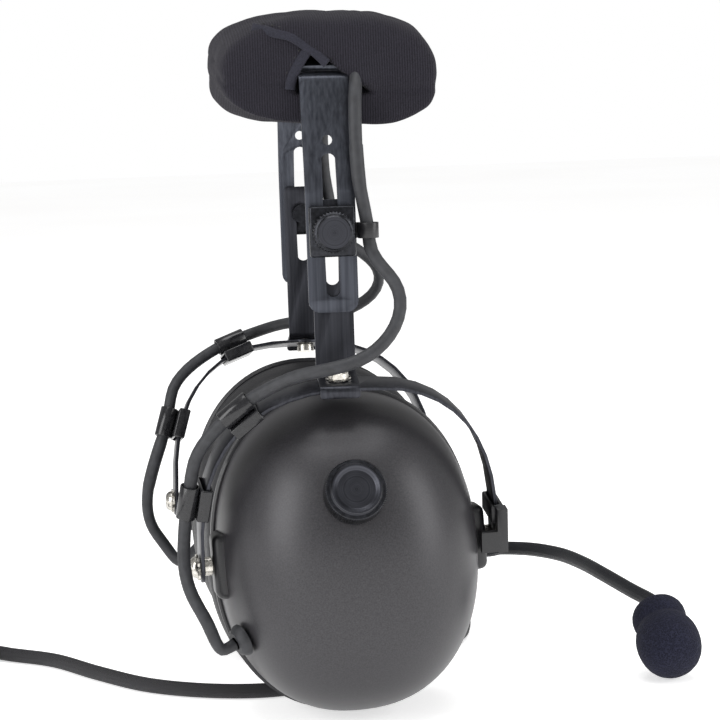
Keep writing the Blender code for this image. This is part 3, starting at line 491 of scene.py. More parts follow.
def dome(side):
    rows = 22
    outside = []
    for k in range(rows + 1):
        angle = math.pi / 2 * k / rows
        share = math.cos(angle) ** (2 / DOME_POWER) if k < rows else 0.0
        outside.append((share, RIM_OUT + DOME_DEPTH * math.sin(angle) ** (2 / DOME_POWER)))
    thin = 1 - WALL / DOME_HALF[0]
    squash = 1 - WALL / DOME_DEPTH
    inside = [(share * thin, RIM_OUT + (out - RIM_OUT) * squash) for share, out in outside]
    lip = [(0.992, RIM_OUT - 0.1), (thin + 0.008, RIM_OUT - 0.1)]
    profile = inside[::-1] + lip[::-1] + outside
    shape = placed(oval_spun(profile, DOME_HALF, (0, 0)), CUPS[side])
    return piece(f"{side}_shell", shape, PAINT, f"{side}_cup", [f"{side}_dome"])


for side in SIDES:
    print(dome(side).name, "built")

# %% [markdown]
# Each dome has a rounded boss at its front and its rear, which takes the pivot screw. A cube
# whose edges are bevelled in four steps gives the soft D shape.

# %% Pivot bosses
BOSS_SIZE, BOSS_MIDDLE = (8.6, 11.5, 21.0), 39.5


def boss(side, end, name):
    shape = bmesh.new()
    bmesh.ops.create_cube(shape, size=1.0, matrix=Matrix.Diagonal((*BOSS_SIZE, 1)))
    bmesh.ops.bevel(
        shape, geom=shape.edges, offset=2.6, segments=4, profile=0.5, affect="EDGES", material=-1
    )
    placed(shape, Matrix.Scale(MM, 4) @ Matrix.Translation((end * BOSS_MIDDLE, 0, 0)))
    placed(shape, CUPS[side])
    return piece(f"{side}_{name}_boss", shape, PLASTIC, f"{side}_cup", sharp=60.0)


for side in SIDES:
    for end, name in ((FRONT[side], "front"), (-FRONT[side], "rear")):
        boss(side, end, name)

# %% [markdown]
# ## Ear seals
# Behind the dome comes a hard plate and then a soft ring of vinyl over foam. The ring's
# section is smoothed with a subdivision, and it swells between the plate and its flat face.

# %% Seal plates and ear seals
RIM = (42.9, 52.4)
SEAL_OUTER, SEAL_OPENING = (43.6, 51.9), (29.0, 38.0)
PLATE_PROFILE = [(0.45, -8.4), (0.985, -8.4), (1.0, -8.9), (1.0, -10.7), (0.985, -11.3), (0.45, -11.3)]
SEAL_PROFILE = [(0.2, -11.7), (0.7, -11.7), (0.9, -12.6), (0.985, -15.5), (1.0, -18.6)]
SEAL_PROFILE += [(0.985, -18.9), (0.985, -19.4), (1.0, -19.7), (0.99, -25.0), (0.9, -29.4), (0.72, -31.0)]
SEAL_PROFILE += [(0.3, -31.0), (0.12, -29.6), (0.02, -26.0), (0.0, -20.0), (0.05, -14.0)]

for side in SIDES:
    shape = placed(oval_spun(PLATE_PROFILE, RIM, (0, 0), closed=True), CUPS[side])
    piece(f"{side}_baffle_rim", shape, PLASTIC, f"{side}_cup", [f"{side}_seal_plate"])
    shape = placed(oval_spun(SEAL_PROFILE, SEAL_OUTER, SEAL_OPENING, closed=True), CUPS[side])
    seal = piece(f"{side}_seal_cushion", shape, SKIN, f"{side}_cup", [f"{side}_ear_seal"], 60)
    smooth = seal.modifiers.new("smooth", "SUBSURF")
    smooth.levels = smooth.render_levels = 1

# %% [markdown]
# ## Knobs
# Both knobs are turned parts with a knurled skirt. The profile is spun in as many steps as
# there are flanks, and every other point of the skirt moves in, which cuts the teeth.


# %% Knobs
def knob(name, joint, profile, teeth, skirt, depth, face, body, node):
    """skirt is (lowest, highest) height of the knurl, and face the radius of the spun face."""
    place = aimed(joint["pos_m"], joint["axis"])
    shape = spun(profile, teeth * 2)
    edge = max(r for r, h in profile) - 0.5
    for vert in shape.verts:
        radius = math.hypot(vert.co.x, vert.co.y) / MM
        if radius > edge and skirt[0] - 0.01 < vert.co.z / MM < skirt[1] + 0.01:
            step = round(math.atan2(vert.co.y, vert.co.x) / math.tau * teeth * 2)
            if step % 2:
                vert.co.x *= 1 - depth / radius
                vert.co.y *= 1 - depth / radius
    top = max(h for r, h in profile) - 1.4
    for polygon in shape.faces:
        middle = polygon.calc_center_median() / MM
        if middle.z > top and math.hypot(middle.x, middle.y) < face:
            polygon.material_index = 1
    placed(shape, place)
    ring_uv(shape, place)
    return piece(name, shape, [ANODISED, SPUN], body, [node], 30)


def outward(joint, side):
    """The joint with its axis pointing out of the head."""
    sign = 1 if joint["axis"][1] * FRONT[side] > 0 else -1
    return {"pos_m": joint["pos_m"], "axis": [sign * value for value in joint["axis"]]}


VOLUME = [(0, 9.5), (5.8, 9.5), (6.3, 9.9), (7.0, 10.5), (7.5, 10.5), (8.1, 9.3), (9.0, 9.1), (9.5, 8.7)]
VOLUME += [(9.5, 1.2), (8.9, 0.5), (3.0, 0.5), (3.0, -5.0), (0, -5.0)]
CLAMP = [(0, 13.2), (4.9, 13.2), (5.3, 12.8), (5.4, 11.6), (5.9, 11.3), (6.5, 10.9), (6.5, 7.0), (5.9, 6.3)]
CLAMP += [(1.8, 6.3), (1.8, -2.4), (3.4, -2.4), (3.4, -4.4), (0, -4.4)]
for side in SIDES:
    turn = outward(joints[f"{side}_volume_turn"], side)
    knob(
        f"{side}_volume", turn, VOLUME, 84, (1.2, 9.0), 0.4, 7.9, f"{side}_volume", f"{side}_volume_knob"
    )
    turn = outward(joints[f"{side}_clamp_turn"], side)
    knob(
        f"{side}_clamp_wheel", turn, CLAMP, 36, (7.0, 10.9), 0.45, 5.0, f"{side}_clamp",
        f"{side}_clamp_knob",
    )

# %% [markdown]
# ## Screws
# A pivot screw is a domed head on a toothed washer, with a collar behind it. The washer is a
# circle whose every other point is pulled in, then extruded to its thickness.


# %% Screws
def star_washer(outer, inner, thick, height, teeth=14):
    shape = bmesh.new()
    bmesh.ops.create_circle(shape, cap_ends=True, radius=outer * MM, segments=teeth * 2)
    for index, vert in enumerate(shape.verts):
        if index % 2:
            vert.co *= inner / outer
    grown = bmesh.ops.extrude_face_region(shape, geom=shape.faces[:])
    lifted = [item for item in grown["geom"] if isinstance(item, bmesh.types.BMVert)]
    bmesh.ops.translate(shape, vec=(0, 0, thick * MM), verts=lifted)
    bmesh.ops.translate(shape, vec=(0, 0, height * MM), verts=shape.verts)
    bmesh.ops.recalc_face_normals(shape, faces=shape.faces)
    return shape


def joined(*shapes):
    """Several shapes as one bmesh."""
    whole = bmesh.new()
    for part in shapes:
        data = bpy.data.meshes.new("part")
        part.to_mesh(data)
        part.free()
        whole.from_mesh(data)
        bpy.data.meshes.remove(data)
    return whole


PIVOT_HEAD = [(0, 50.3), (0.7, 50.4), (1.1, 50.9), (2.4, 50.7), (3.3, 49.9), (3.6, 48.95), (0, 48.95)]
PIVOT_SHANK = [(0, 48.1), (1.55, 48.1), (1.55, 46.5), (3.0, 46.4), (3.0, 44.1), (1.5, 44.1)]
PIVOT_SHANK += [(1.5, 40), (0, 40)]
FOOT_HEAD = [(0, 4.7), (0.7, 4.8), (1.0, 5.2), (1.9, 5.3), (3.0, 4.4), (3.3, 2.9), (0, 2.9)]
FOOT_SHANK = [(0, 2.3), (1.35, 2.3), (1.35, -0.8), (3.0, -0.8), (3.0, -3.2), (0, -3.2)]


def screw(name, place, head, washer, shank, body, node):
    shape = joined(spun(head, 32), star_washer(*washer), spun(shank, 24))
    return piece(name, placed(shape, place), NICKEL, body, [node])


for side in SIDES:
    for end, name in ((FRONT[side], "front"), (-FRONT[side], "rear")):
        place = CUPS[side] @ Matrix.Rotation(end * math.pi / 2, 4, "Y")
        washer = (4.2, 3.6, 0.7, 48.15)
        node = f"{side}_{name}_pivot_screw"
        screw(f"{side}_{name}_pivot", place, PIVOT_HEAD, washer, PIVOT_SHANK, f"{side}_cup", node)
    axis = Vector(joints[f"{side}_swivel"]["axis"])
    axis *= math.copysign(1.0, axis.z)
    place = aimed(joints[f"{side}_swivel"]["pos_m"], axis)
    washer = (4.0, 3.4, 0.55, 2.3)
    screw(f"{side}_foot", place, FOOT_HEAD, washer, FOOT_SHANK, f"{side}_slider", f"{side}_foot_screw")

# %% [markdown]
# ## Cables
# A copy of each cable's own solid is merged and subdivided, which makes its eight flats
# round. A cable that crosses a joint is blended, so that it bends from one body to the next.


# %% Cables
CABLE_SIDES = 8
CABLE_SWELL = 0.18  # subdivision pulls an eight-sided tube in by this much


def cable(name, node, body=None, cut=None):
    """cut is (point, normal): only the part on the normal's side stays."""
    shape = bmesh.new()
    shape.from_mesh(nodes[node].data)
    bmesh.ops.remove_doubles(shape, verts=shape.verts, dist=0.00002)
    bmesh.ops.dissolve_limit(shape, angle_limit=math.radians(1), verts=shape.verts, edges=shape.edges)
    if cut:
        everything = shape.verts[:] + shape.edges[:] + shape.faces[:]
        bmesh.ops.bisect_plane(shape, geom=everything, plane_co=cut[0], plane_no=cut[1], clear_inner=True)
        open_edges = [edge for edge in shape.edges if edge.is_boundary]
        bmesh.ops.edgeloop_fill(shape, edges=open_edges)
    shape.normal_update()
    for vert in shape.verts:
        vert.co += vert.normal * CABLE_SWELL * MM
    crease = shape.edges.layers.float.new("crease_edge")
    caps = [face for face in shape.faces if len(face.verts) >= CABLE_SIDES]
    for edge in {edge for face in caps for edge in face.edges}:
        edge[crease] = 1.0
    made = piece(name, shape, RUBBER, body, [node], 60)
    rounded(made)
    return made


def rounded(made):
    """One subdivision, applied, so that a blend moves the finished points."""
    smooth = made.modifiers.new("round", "SUBSURF")
    smooth.levels = smooth.render_levels = 1
    graph = bpy.context.evaluated_depsgraph_get()
    finished = bpy.data.meshes.new_from_object(made.evaluated_get(graph))
    made.modifiers.clear()
    made.data = finished
    made.data.shade_smooth()


def middle_of(node):
    low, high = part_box(node)
    return (low + high) / 2


for side in SIDES:
    out = FRONT[side]
    made = cable(f"{side}_cup_lead", f"{side}_cup_cable")
    clip = middle_of(f"{side}_lower_wire_clip")
    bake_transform(made, f"{side}_cup", f"{side}_stirrup", start=middle_of(f"{side}_cable_grommet"), end=clip)
    made = cable(f"{side}_stirrup_lead", f"{side}_stirrup_cable")
    start, end = middle_of(f"{side}_upper_wire_clip"), middle_of(f"{side}_cable_clip")
    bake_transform(made, f"{side}_slider", f"{side}_stirrup", start=end, end=start)
    low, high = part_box(f"{side}_arm_cable")
    split = (0, 0, low.z + 0.5 * (high.z - low.z))
    made = cable(f"{side}_arm_lead_low", f"{side}_arm_cable", cut=(split, (0, 0, -1)))
    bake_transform(made, f"{side}_slider", f"{side}_arm", start=(0, 0, low.z + 0.004), end=split)
    made = cable(f"{side}_arm_lead_high", f"{side}_arm_cable", cut=(split, (0, 0, 1)))
    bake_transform(made, f"{side}_arm", "headband", start=split, end=(0, 0, high.z - 0.004))
cable("pad_lead", "pad_cable", "headband")

# %% [markdown]
# ## The main cord
# The cord leaves the left cup, drops to the floor, passes under both cups and ends in a round
# coil out of view. Its line is one smooth curve: first the loose route, then the coil's turns
# from a loop, then the way down off the coil and into the splitter.

# %% The cord's line
CORD, TAIL, FLOOR = 5.0, 4.0, -196.5
LYING = FLOOR + CORD / 2 + 0.1
COIL_MIDDLE, RINGS = (-160.0, 40.0), (38.1, 32.7, 27.5, 22.3)
SPLITTER_X, SPLITTER_TOP, SPLITTER_LENGTH = -198.8, 10.0, 26.0
SPLITTER_UP = LYING - CORD / 2 + 4.0
LOOSE = [(12.52, 86.44, -176.83), (14.64, 91.11, -179.74), (18.6, 99.82, -185.18)]
LOOSE += [(22.5, 102.5, LYING + 2.6), (30.0, 106.5, LYING + 0.3)]
LOOSE += [
    (x, y, LYING)
    for x, y in [(38.5, 105.5), (46.5, 99), (51.5, 89), (53, 76), (51.5, 61), (48, 45), (40, 28), (27, 10)]
    + [(11, -7), (-6, -19), (-25, -26), (-45, -22), (-65, -9), (-82, 13), (-97, 36), (-112, 49), (-126, 60)]
]


def eased(share):
    share = min(1.0, max(0.0, share))
    return share * share * (3 - 2 * share)


def coil_point(turned, start=math.radians(60.0)):
    """A point of the coil, turned so many turns from where the cord reaches it.

    Three turns wind inwards on the floor, each stepping in over its first sixth. The third
    climbs in its last sixth, and the turns above it wind outwards again.
    """
    lap, part = int(turned), turned - int(turned)
    if lap < 3:
        radius = RINGS[lap] + (RINGS[lap + 1] - RINGS[lap]) * eased(part * 6)
        height = (CORD + 0.4) * eased((part - 5 / 6) * 6) if lap == 2 else 0.0
    else:
        ring = 6 - lap
        before = RINGS[ring]
        radius = before + (RINGS[max(1, ring - 1)] - before) * eased((part - 4 / 6) * 6)
        height = CORD + 0.4
    angle = start + turned * math.tau
    return (
        COIL_MIDDLE[0] + radius * math.cos(angle),
        COIL_MIDDLE[1] + radius * math.sin(angle),
        LYING + height,
    )


LAST_TURN = 5 + 120 / 360  # it leaves the coil's far side, heading for the splitter
STEPS = 30
COILED = [coil_point(LAST_TURN * k / (STEPS * 5.34)) for k in range(3, int(STEPS * 5.34))]
TO_SPLITTER = [(-192.9, 36.0, LYING + 5.2), (-195.3, 28.5, LYING + 4.0), (-198.2, 21.0, SPLITTER_UP + 1.0)]
TO_SPLITTER += [(SPLITTER_X, 13.5, SPLITTER_UP), (SPLITTER_X, 8.0, SPLITTER_UP)]


# %% [markdown]
# A Catmull-Rom curve runs through every point that it is given, so the cord passes exactly
# where its solid lies. It is swept as a curve, then made a mesh, whose UV map is rescaled to
# count quarter turns round the cord one way and widths of the cord the other.


# %% Sweeping a cord
def smooth_line(points, spacing):
    points = [Vector(p) for p in points]
    padded = [2 * points[0] - points[1]] + points + [2 * points[-1] - points[-2]]
    fine = []
    for a, b, c, d in zip(padded, padded[1:], padded[2:], padded[3:]):
        for k in range(10):
            t = k / 10
            bend = (2 * a - 5 * b + 4 * c - d) * t**2 + (3 * b - a - 3 * c + d) * t**3
            fine.append(0.5 * (2 * b + (c - a) * t + bend))
    fine.append(points[-1])
    kept = [fine[0]]
    for point in fine[1:]:
        if (point - kept[-1]).length >= spacing:
            kept.append(point)
    kept[-1] = fine[-1]
    return kept


def length_of(line):
    return sum((b - a).length for a, b in zip(line, line[1:]))


def swept(name, points, diameter, finish, body, replaces=(), spacing=1.2, resolution=4):
    """A tube in mm along a line: (the object, its line in metres)."""
    line = [p * MM for p in smooth_line(points, spacing)]
    data = bpy.data.curves.new(name, "CURVE")
    data.dimensions = "3D"
    data.bevel_depth = diameter / 2 * MM
    data.bevel_resolution = resolution
    data.use_fill_caps = True
    spline = data.splines.new("POLY")
    spline.points.add(len(line) - 1)
    for point, co in zip(spline.points, line):
        point.co = (*co, 1.0)
    guide = bpy.data.objects.new(name + "_guide", data)
    mesh = bpy.data.meshes.new_from_object(guide)
    bpy.data.objects.remove(guide)
    shape = bmesh.new()
    shape.from_mesh(mesh)
    bmesh.ops.remove_doubles(shape, verts=shape.verts, dist=0.000002)
    layer = shape.loops.layers.uv.active
    for face in shape.faces:
        for loop in face.loops:
            around, along = loop[layer].uv
            loop[layer].uv = (around * 4.0, along * length_of(line) / (diameter * MM))
    bmesh.ops.recalc_face_normals(shape, faces=shape.faces)
    made = piece(name, shape, finish, body, replaces, 60)
    made.data.uv_layers[0].name = "cord"
    return made, line


# %% Main cord
route = LOOSE + COILED + TO_SPLITTER
replaced = ["main_cord", "cord_coil"]
main, main_line = swept("headset_cord", route, CORD, BRAID, "left_cup", replaced)
print("main cord:", round(length_of(main_line), 3), "m")

# %% [markdown]
# The gland's rubber sleeve tapers onto the cord, with rings that let it bend. The splitter is
# a rounded moulding with a sleeve of the same kind where the cord enters it.

# %% Gland, grommets and splitter
GLAND_SEAT, GLAND_AXIS = Vector((10.87, 82.8, -174.55)), Vector((0.3594, 0.7915, -0.4943))
SLEEVE = [(2.55, 10.2), (3.1, 10.2), (3.3, 9.2), (2.9, 8.8), (3.5, 7.9), (3.7, 6.9), (3.2, 6.5), (3.9, 5.4)]
SLEEVE += [(4.2, 4.2), (5.5, 3.3), (5.7, 1.3), (3.4, 0.9), (3.4, -3.0), (2.55, -3.0)]
shape = placed(spun(SLEEVE, 40, closed=True), aimed(GLAND_SEAT * MM, GLAND_AXIS))
gland = piece("cord_sleeve", shape, RUBBER, "left_cup", ["cord_gland"])
GROMMET = [(2.1, 3.9), (3.4, 3.9), (4.4, 3.2), (5.1, 2.0), (5.2, 0.9), (2.4, 0.9), (2.4, -3.5), (0, -3.5)]
GROMMET += [(0, 2.0), (2.1, 2.0)]
GROMMETS = {
    "right": ((-34.16, -68.44, -166.78), (-0.8618, -0.3842, -0.3313)),
    "left": ((-43.15, 62.0, -163.86), (-0.9398, 0.2239, -0.2583)),
}
for side in SIDES:
    seat, axis = GROMMETS[side]
    shape = placed(spun(GROMMET, 32), aimed(Vector(seat) * MM, axis))
    piece(f"{side}_lead_grommet", shape, RUBBER, f"{side}_cup", [f"{side}_cable_grommet"])

shape = bmesh.new()
size = Matrix.Diagonal((15.0, SPLITTER_LENGTH, 8.0, 1))
bmesh.ops.create_cube(shape, size=1.0, matrix=size)
bmesh.ops.bevel(shape, geom=shape.edges, offset=2.6, segments=4, profile=0.5, affect="EDGES", material=-1)
centre = (SPLITTER_X, SPLITTER_TOP - SPLITTER_LENGTH / 2, SPLITTER_UP)
placed(shape, Matrix.Scale(MM, 4) @ Matrix.Translation(centre))
RELIEF = [(2.6, 0), (3.6, 0), (3.5, 2), (3.2, 2.4), (3.4, 4), (3.1, 4.4), (3.2, 7), (2.6, 7)]
relief = spun(RELIEF, 32, closed=True)
seat = aimed(Vector((SPLITTER_X, SPLITTER_TOP - 0.4, SPLITTER_UP)) * MM, (0, 1, 0))
splitter = piece(
    "cord_joint", joined(shape, placed(relief, seat)), RUBBER, "left_cup", ["cord_splitter"]
)

# %% [markdown]
# ## Tails and plugs
# Two thinner tails run from the splitter to a pair of plugs, one for the earphones and a
# slimmer one for the microphone. Each plug has a ribbed handle and a nickel pin with two
# black insulating rings.


# %% Tails and plugs
TAIL_REACH, PLUG_ASIDE, HANDLE_END, RINGS_AT, RING_WIDE = 116.0, 8.6, 35.6, (45.0, 52.0), 1.2
def plug(name, aside, radius, pin, end_y, low, node):
    handle = [(0, 0), (2.6, 0), (radius * 0.8, 3), (radius, 6)]
    for k in range(9):
        handle += [(radius, 8 + 2 * k), (radius * 0.94, 8.4 + 2 * k), (radius * 0.94, 9.2 + 2 * k)]
        handle += [(radius, 9.6 + 2 * k)]
    handle += [(radius, 33.0), (radius * 0.8, 35.6), (0, 35.6)]
    shaft = [(0, 35.6), (pin, 35.6), (pin, 57.5), (pin * 0.72, 59.5), (pin, 61.5)]
    shaft += [(pin * 0.55, 65.0), (0, 66.0)]
    rings = []
    for at in RINGS_AT:
        inner, outer = pin - 0.3, pin + 0.04
        far = at + RING_WIDE
        rings.append(spun([(inner, at), (outer, at), (outer, far), (inner, far)], 32, True))
    seat = aimed(Vector((SPLITTER_X + aside * PLUG_ASIDE, end_y - 0.3, low + radius)) * MM, (0, -1, 0))
    body = spun(handle, 48)
    shape = joined(body, spun(shaft, 32), *rings)
    for face in shape.faces:
        at, wide = face.calc_center_median().z / MM, math.hypot(*face.calc_center_median().xy) / MM
        on_ring = any(ring - 0.01 < at < ring + 1.21 for ring in RINGS_AT) and wide > pin - 0.35
        face.material_index = 0 if at < HANDLE_END or on_ring else 1
    return piece(name, placed(shape, seat), [PLASTIC, NICKEL], "left_cup", [node])


LOW = LYING - CORD / 2
for kind, aside, radius, pin in (("headphone", -1, 5.4, 3.17), ("mic", 1, 4.9, 2.6)):
    start_y = SPLITTER_TOP - SPLITTER_LENGTH - 0.3
    end_y = start_y - TAIL_REACH
    x, flat, raised = SPLITTER_X, LOW + TAIL / 2, LOW + radius
    route = [(x + aside * 3.6, start_y + 0.6, SPLITTER_UP), (x + aside * 4.6, start_y - 10, LOW + 3.0)]
    route += [(x + aside * 9.0, start_y - 26, flat), (x + aside * 13.5, start_y - 50, flat)]
    route += [(x + aside * 11.5, start_y - 76, flat), (x + aside * 9.0, start_y - 98, flat + 1.5)]
    route += [(x + aside * PLUG_ASIDE, end_y + back, raised) for back in (6.0, -1.0)]
    tail, tail_line = swept(
        f"{kind}_lead", route, TAIL, BRAID, "left_cup", [f"{kind}_tail"]
    )
    ending = plug(f"{kind}_jack", aside, radius, pin, end_y, LOW, f"{kind}_plug")
    print(kind, "tail:", round(length_of(tail_line), 3), "m")

# %% [markdown]
# ## Microphone
# The gooseneck is a steel spring under a skin, so its surface has fine rings. Its windscreen
# is a foam bulb with a pinch near its neck, where it grips the capsule.

# %% Gooseneck and windscreen
def ribbed():
    """Fine rings round the gooseneck, as far apart as the coils of its spring."""
    made, tree, shader = new_material("gooseneck skin", 0.36, 0.2)
    uv = add_node(tree, "ShaderNodeUVMap", uv_map="cord").outputs["UV"]
    wave = add_node(
        tree, "ShaderNodeTexWave", {"Vector": uv}, {"Scale": 1.3}, wave_type="BANDS", bands_direction="Y"
    )
    colour_between(tree, shader, wave.outputs["Fac"], "101115", "292b33")
    bump(tree, shader, wave.outputs["Fac"], 0.15 * MM, 0.9)
    return made


NECK_WIDTH = 5.0
FOAM_ENTRY = Vector((106.8, -17.0, -176.0))
FOAM_AXIS = Vector((0.07, -0.85, -0.52)).normalized()
NECK = [(54.13, 68.93, -168.43), (62.99, 69.74, -168.72), (67.0, 66.5, -167.6), (76.5, 56, -166.6)]
NECK += [(84.9, 43, -166.6), (90.3, 28, -167.3), (94.5, 13.5, -168.6), (101.3, -3.5, -171.6)]
NECK += [FOAM_ENTRY + FOAM_AXIS * along for along in (-4.0, 0.0, 2.2)]
neck_line = swept("gooseneck", NECK, NECK_WIDTH, ribbed(), "mic_boom", ["boom"])[1]
print("gooseneck:", round(length_of(neck_line), 3), "m")
BULB = [(3.0, 0.4), (6.2, 0.9), (8.4, -0.8), (9.3, -3.6), (9.0, -6.6), (8.2, -8.4), (9.3, -9.8)]
BULB += [(10.5, -12.6)]
BULB += [(10.9, -16.4), (10.4, -20.6), (8.9, -24.2), (6.2, -26.6), (3.0, -27.4), (0, -27.5)]
BULB_BORE = [(0, -16.4), (3.0, -16.4)]
seat = aimed(FOAM_ENTRY * MM, -FOAM_AXIS)
shape = placed(spun(BULB_BORE + BULB, 64), seat)
screen = piece("foam_bulb", shape, FOAM, "mic_boom", ["windscreen"], 60)
smooth = screen.modifiers.new("smooth", "SUBSURF")
smooth.levels = smooth.render_levels = 1

# %% [markdown]
# ## The head pad
# The pad is a stuffed sleeve of knit over the spring, open at both ends. Its section is swept
# from one end to the other, turned in at each end to a tent-shaped opening, and brought back
# through the middle, so that one closed skin makes the outside and the tunnel.

# %% Sections of the pad
PAD_END, PAD_HALF_WIDTH, PAD_MIDDLE_X = 54.0, 34.6, -0.6
PAD_TOP, SEAM_UP, CROWN_RADIUS = 28.6, 12.4, 134.0
OPENING = [(-9.8, 1.5), (-9.6, 6.5), (-7.9, 10.1), (-5.2, 14.0), (-1.3, 11.1), (2.6, 7.4), (6.3, 3.8)]
OPENING += [(10.6, 1.4)]


def sag(out):
    """How far the crown has fallen at a distance out from its middle."""
    return CROWN_RADIUS - math.sqrt(CROWN_RADIUS**2 - out**2)


def pad_point(angle, size, out):
    """A point of the outside, from its angle round the seam's line."""
    c, s = math.cos(angle), math.sin(angle)
    x = PAD_MIDDLE_X + PAD_HALF_WIDTH * size * math.copysign(abs(c) ** 0.62, c)
    seam = SEAM_UP - 0.8 * sag(out) - 0.05 * x
    if s >= 0:
        full = PAD_TOP - 0.32 * sag(out) - seam
        lean = 1.0 - 0.16 * max(0.0, x / PAD_HALF_WIDTH) ** 3 - 0.18 * max(0.0, -x / PAD_HALF_WIDTH) ** 4
        return x, seam + full * size * lean * s**0.62
    return x, seam - (SEAM_UP + 0.4) * size * (-s) ** 0.85


def opening_point(angle):
    """A point of the opening: its tent over the upper half turn, its sill over the lower."""
    tent = [Vector(point) for point in OPENING[::-1]]
    if angle < math.pi:
        share = angle / math.pi * (len(tent) - 1)
        k = min(int(share), len(tent) - 2)
        return tent[k].lerp(tent[k + 1], share - k)
    return tent[-1].lerp(tent[0], (angle - math.pi) / math.pi)


# %% The pad's skin
SEGMENTS = 120
EDGE = [(-25.7, 24.6), (-17.1, 21.6), (-8.6, 17.6), (-1.3, 11.5), (2.6, 7.4), (6.3, 3.8), (10.6, 0.2)]


def stations():
    """(out, size, share towards the opening), once round the closed skin."""
    near = [(54.4, 0.9, 0.0), (53.2, 0.95, 0.0), (51.0, 0.98, 0.0), (48.0, 0.99, 0.0)]
    turned_in = [(54.9, 0.9, 0.2), (55.0, 0.9, 0.4), (55.0, 0.9, 0.6), (54.8, 0.9, 0.8), (54.2, 0.9, 0.95)]
    turned_in += [(52.5, 0.9, 1.0), (40.0, 0.9, 1.0)]
    found = [(-out, size, inward) for out, size, inward in near]
    found += [(-44.0 + 4.0 * k, 1.0, 0.0) for k in range(23)]
    found += near[::-1] + turned_in + [(0.0, 0.9, 1.0)]
    return found + [(-out, size, inward) for out, size, inward in turned_in[::-1]]


def edge_at(height):
    """Where the front flap's edge crosses a height, forward of the pad's middle."""
    for (xa, za), (xb, zb) in zip(EDGE, EDGE[1:]):
        if zb <= height <= za:
            return xa + (xb - xa) * (za - height) / (za - zb)
    return EDGE[0][0] if height > EDGE[0][1] else EDGE[-1][0]


def bulge(x, z):
    """How far the flap stands out over the cable that leaves beside the arm."""
    return 4.2 * math.exp(-(((x - 10.5) / 4.5) ** 2) - ((z - 4.0) / 5.0) ** 2)


def station_point(angle, out, size, inward):
    outer = Vector(pad_point(angle, size, out))
    inner = opening_point(angle) + Vector((0.0, 0.8 * (sag(PAD_END) - sag(out))))
    x, z = outer.lerp(inner, inward)
    lift = 0.0
    if inward < 1.0 and abs(out) > 47.0:
        lift = 1.5 * eased((x - edge_at(z)) / 2.0 + 0.5) * eased((z - 1.0) / 3.0)
        lift += bulge(x, z)
    return Vector((x, math.copysign(abs(out) + lift, out) if out else 0.0, z))


shape = bmesh.new()
bmesh.ops.create_circle(shape, segments=SEGMENTS, radius=1.0)
mark = shape.verts.layers.float.new("angle")
for vert in shape.verts:
    vert[mark] = (math.atan2(vert.co.y, vert.co.x) + 0.001) % math.tau
first = shape.edges[:]
ring, ring_verts = first, shape.verts[:]
for number, (out, size, inward) in enumerate(stations()):
    if number:
        ring, ring_verts = grown_ring(shape, ring)
    for vert in ring_verts:
        vert.co = station_point(vert[mark], out, size, inward) * MM
bmesh.ops.bridge_loops(shape, edges=first + ring)
tidy_up(shape)
shape.verts.layers.float.remove(shape.verts.layers.float["angle"])
print("pad faces:", len(shape.faces))

# %% [markdown]
# A stuffed knit is never smooth. Slow noise swells and dents it, a few folds gather beside
# the flap's lower corner, and a crease runs round it where the two halves are sewn.

# %% Creases and folds
from mathutils import noise as lumps

shape.normal_update()
moves = []
for vert in shape.verts:
    x, y, z = vert.co / MM
    seam = SEAM_UP - 0.8 * sag(min(abs(y), PAD_END)) - 0.05 * x
    swell = 1.3 * lumps.noise(vert.co / (15 * MM)) + 0.35 * lumps.noise(vert.co / (5 * MM))
    crease = -0.9 * math.exp(-(((z - seam) / 0.8) ** 2)) if abs(y) < 56 else 0.0
    corner = math.exp(-(((x - 19) / 7) ** 2) - ((z - 10) / 8) ** 2 - ((abs(y) - 54) / 8) ** 2)
    fold = 1.0 * corner * math.cos((x - 0.5 * z - 12) / 4.2 * math.pi)
    inside = abs(x) < 15 and 0 < z - seam < 12 and abs(vert.normal.z) > 0.6 and z < 20
    moves.append((vert, vert.normal * (0.0 if inside else swell + crease + fold) * MM))
for vert, move in moves:
    vert.co += move
cloth = shape.loops.layers.uv.new("cloth")
for face in shape.faces:
    flank = abs(face.normal.x) > 0.8
    for loop in face.loops:
        x, y, z = loop.vert.co
        loop[cloth].uv = (y if flank else x, z if abs(face.normal.z) < 0.7 else y)
pad = piece("knit_pad", shape, KNIT, "headband", ["head_pad"], 80)
smooth = pad.modifiers.new("smooth", "SUBSURF")
smooth.levels = smooth.render_levels = 1

# %% [markdown]
# Both edges of each opening are bound with a folded strip. The strip is a flattened tube
# swept along the edge, and a row of short stitches runs beside it.

# %% Bindings and stitches
FLAP_BINDING = [(-24.0, 22.6), (-17.1, 20.6), (-12.5, 19.4), (-8.6, 16.9), (-4.9, 14.3), (-1.3, 10.7)]
FLAP_BINDING += [(2.6, 6.9), (6.3, 3.4), (9.8, 0.6)]
UNDER_BINDING = [(-6.6, 15.6), (-9.0, 12.4), (-11.2, 8.8), (-12.6, 5.4), (-13.0, 2.9)]


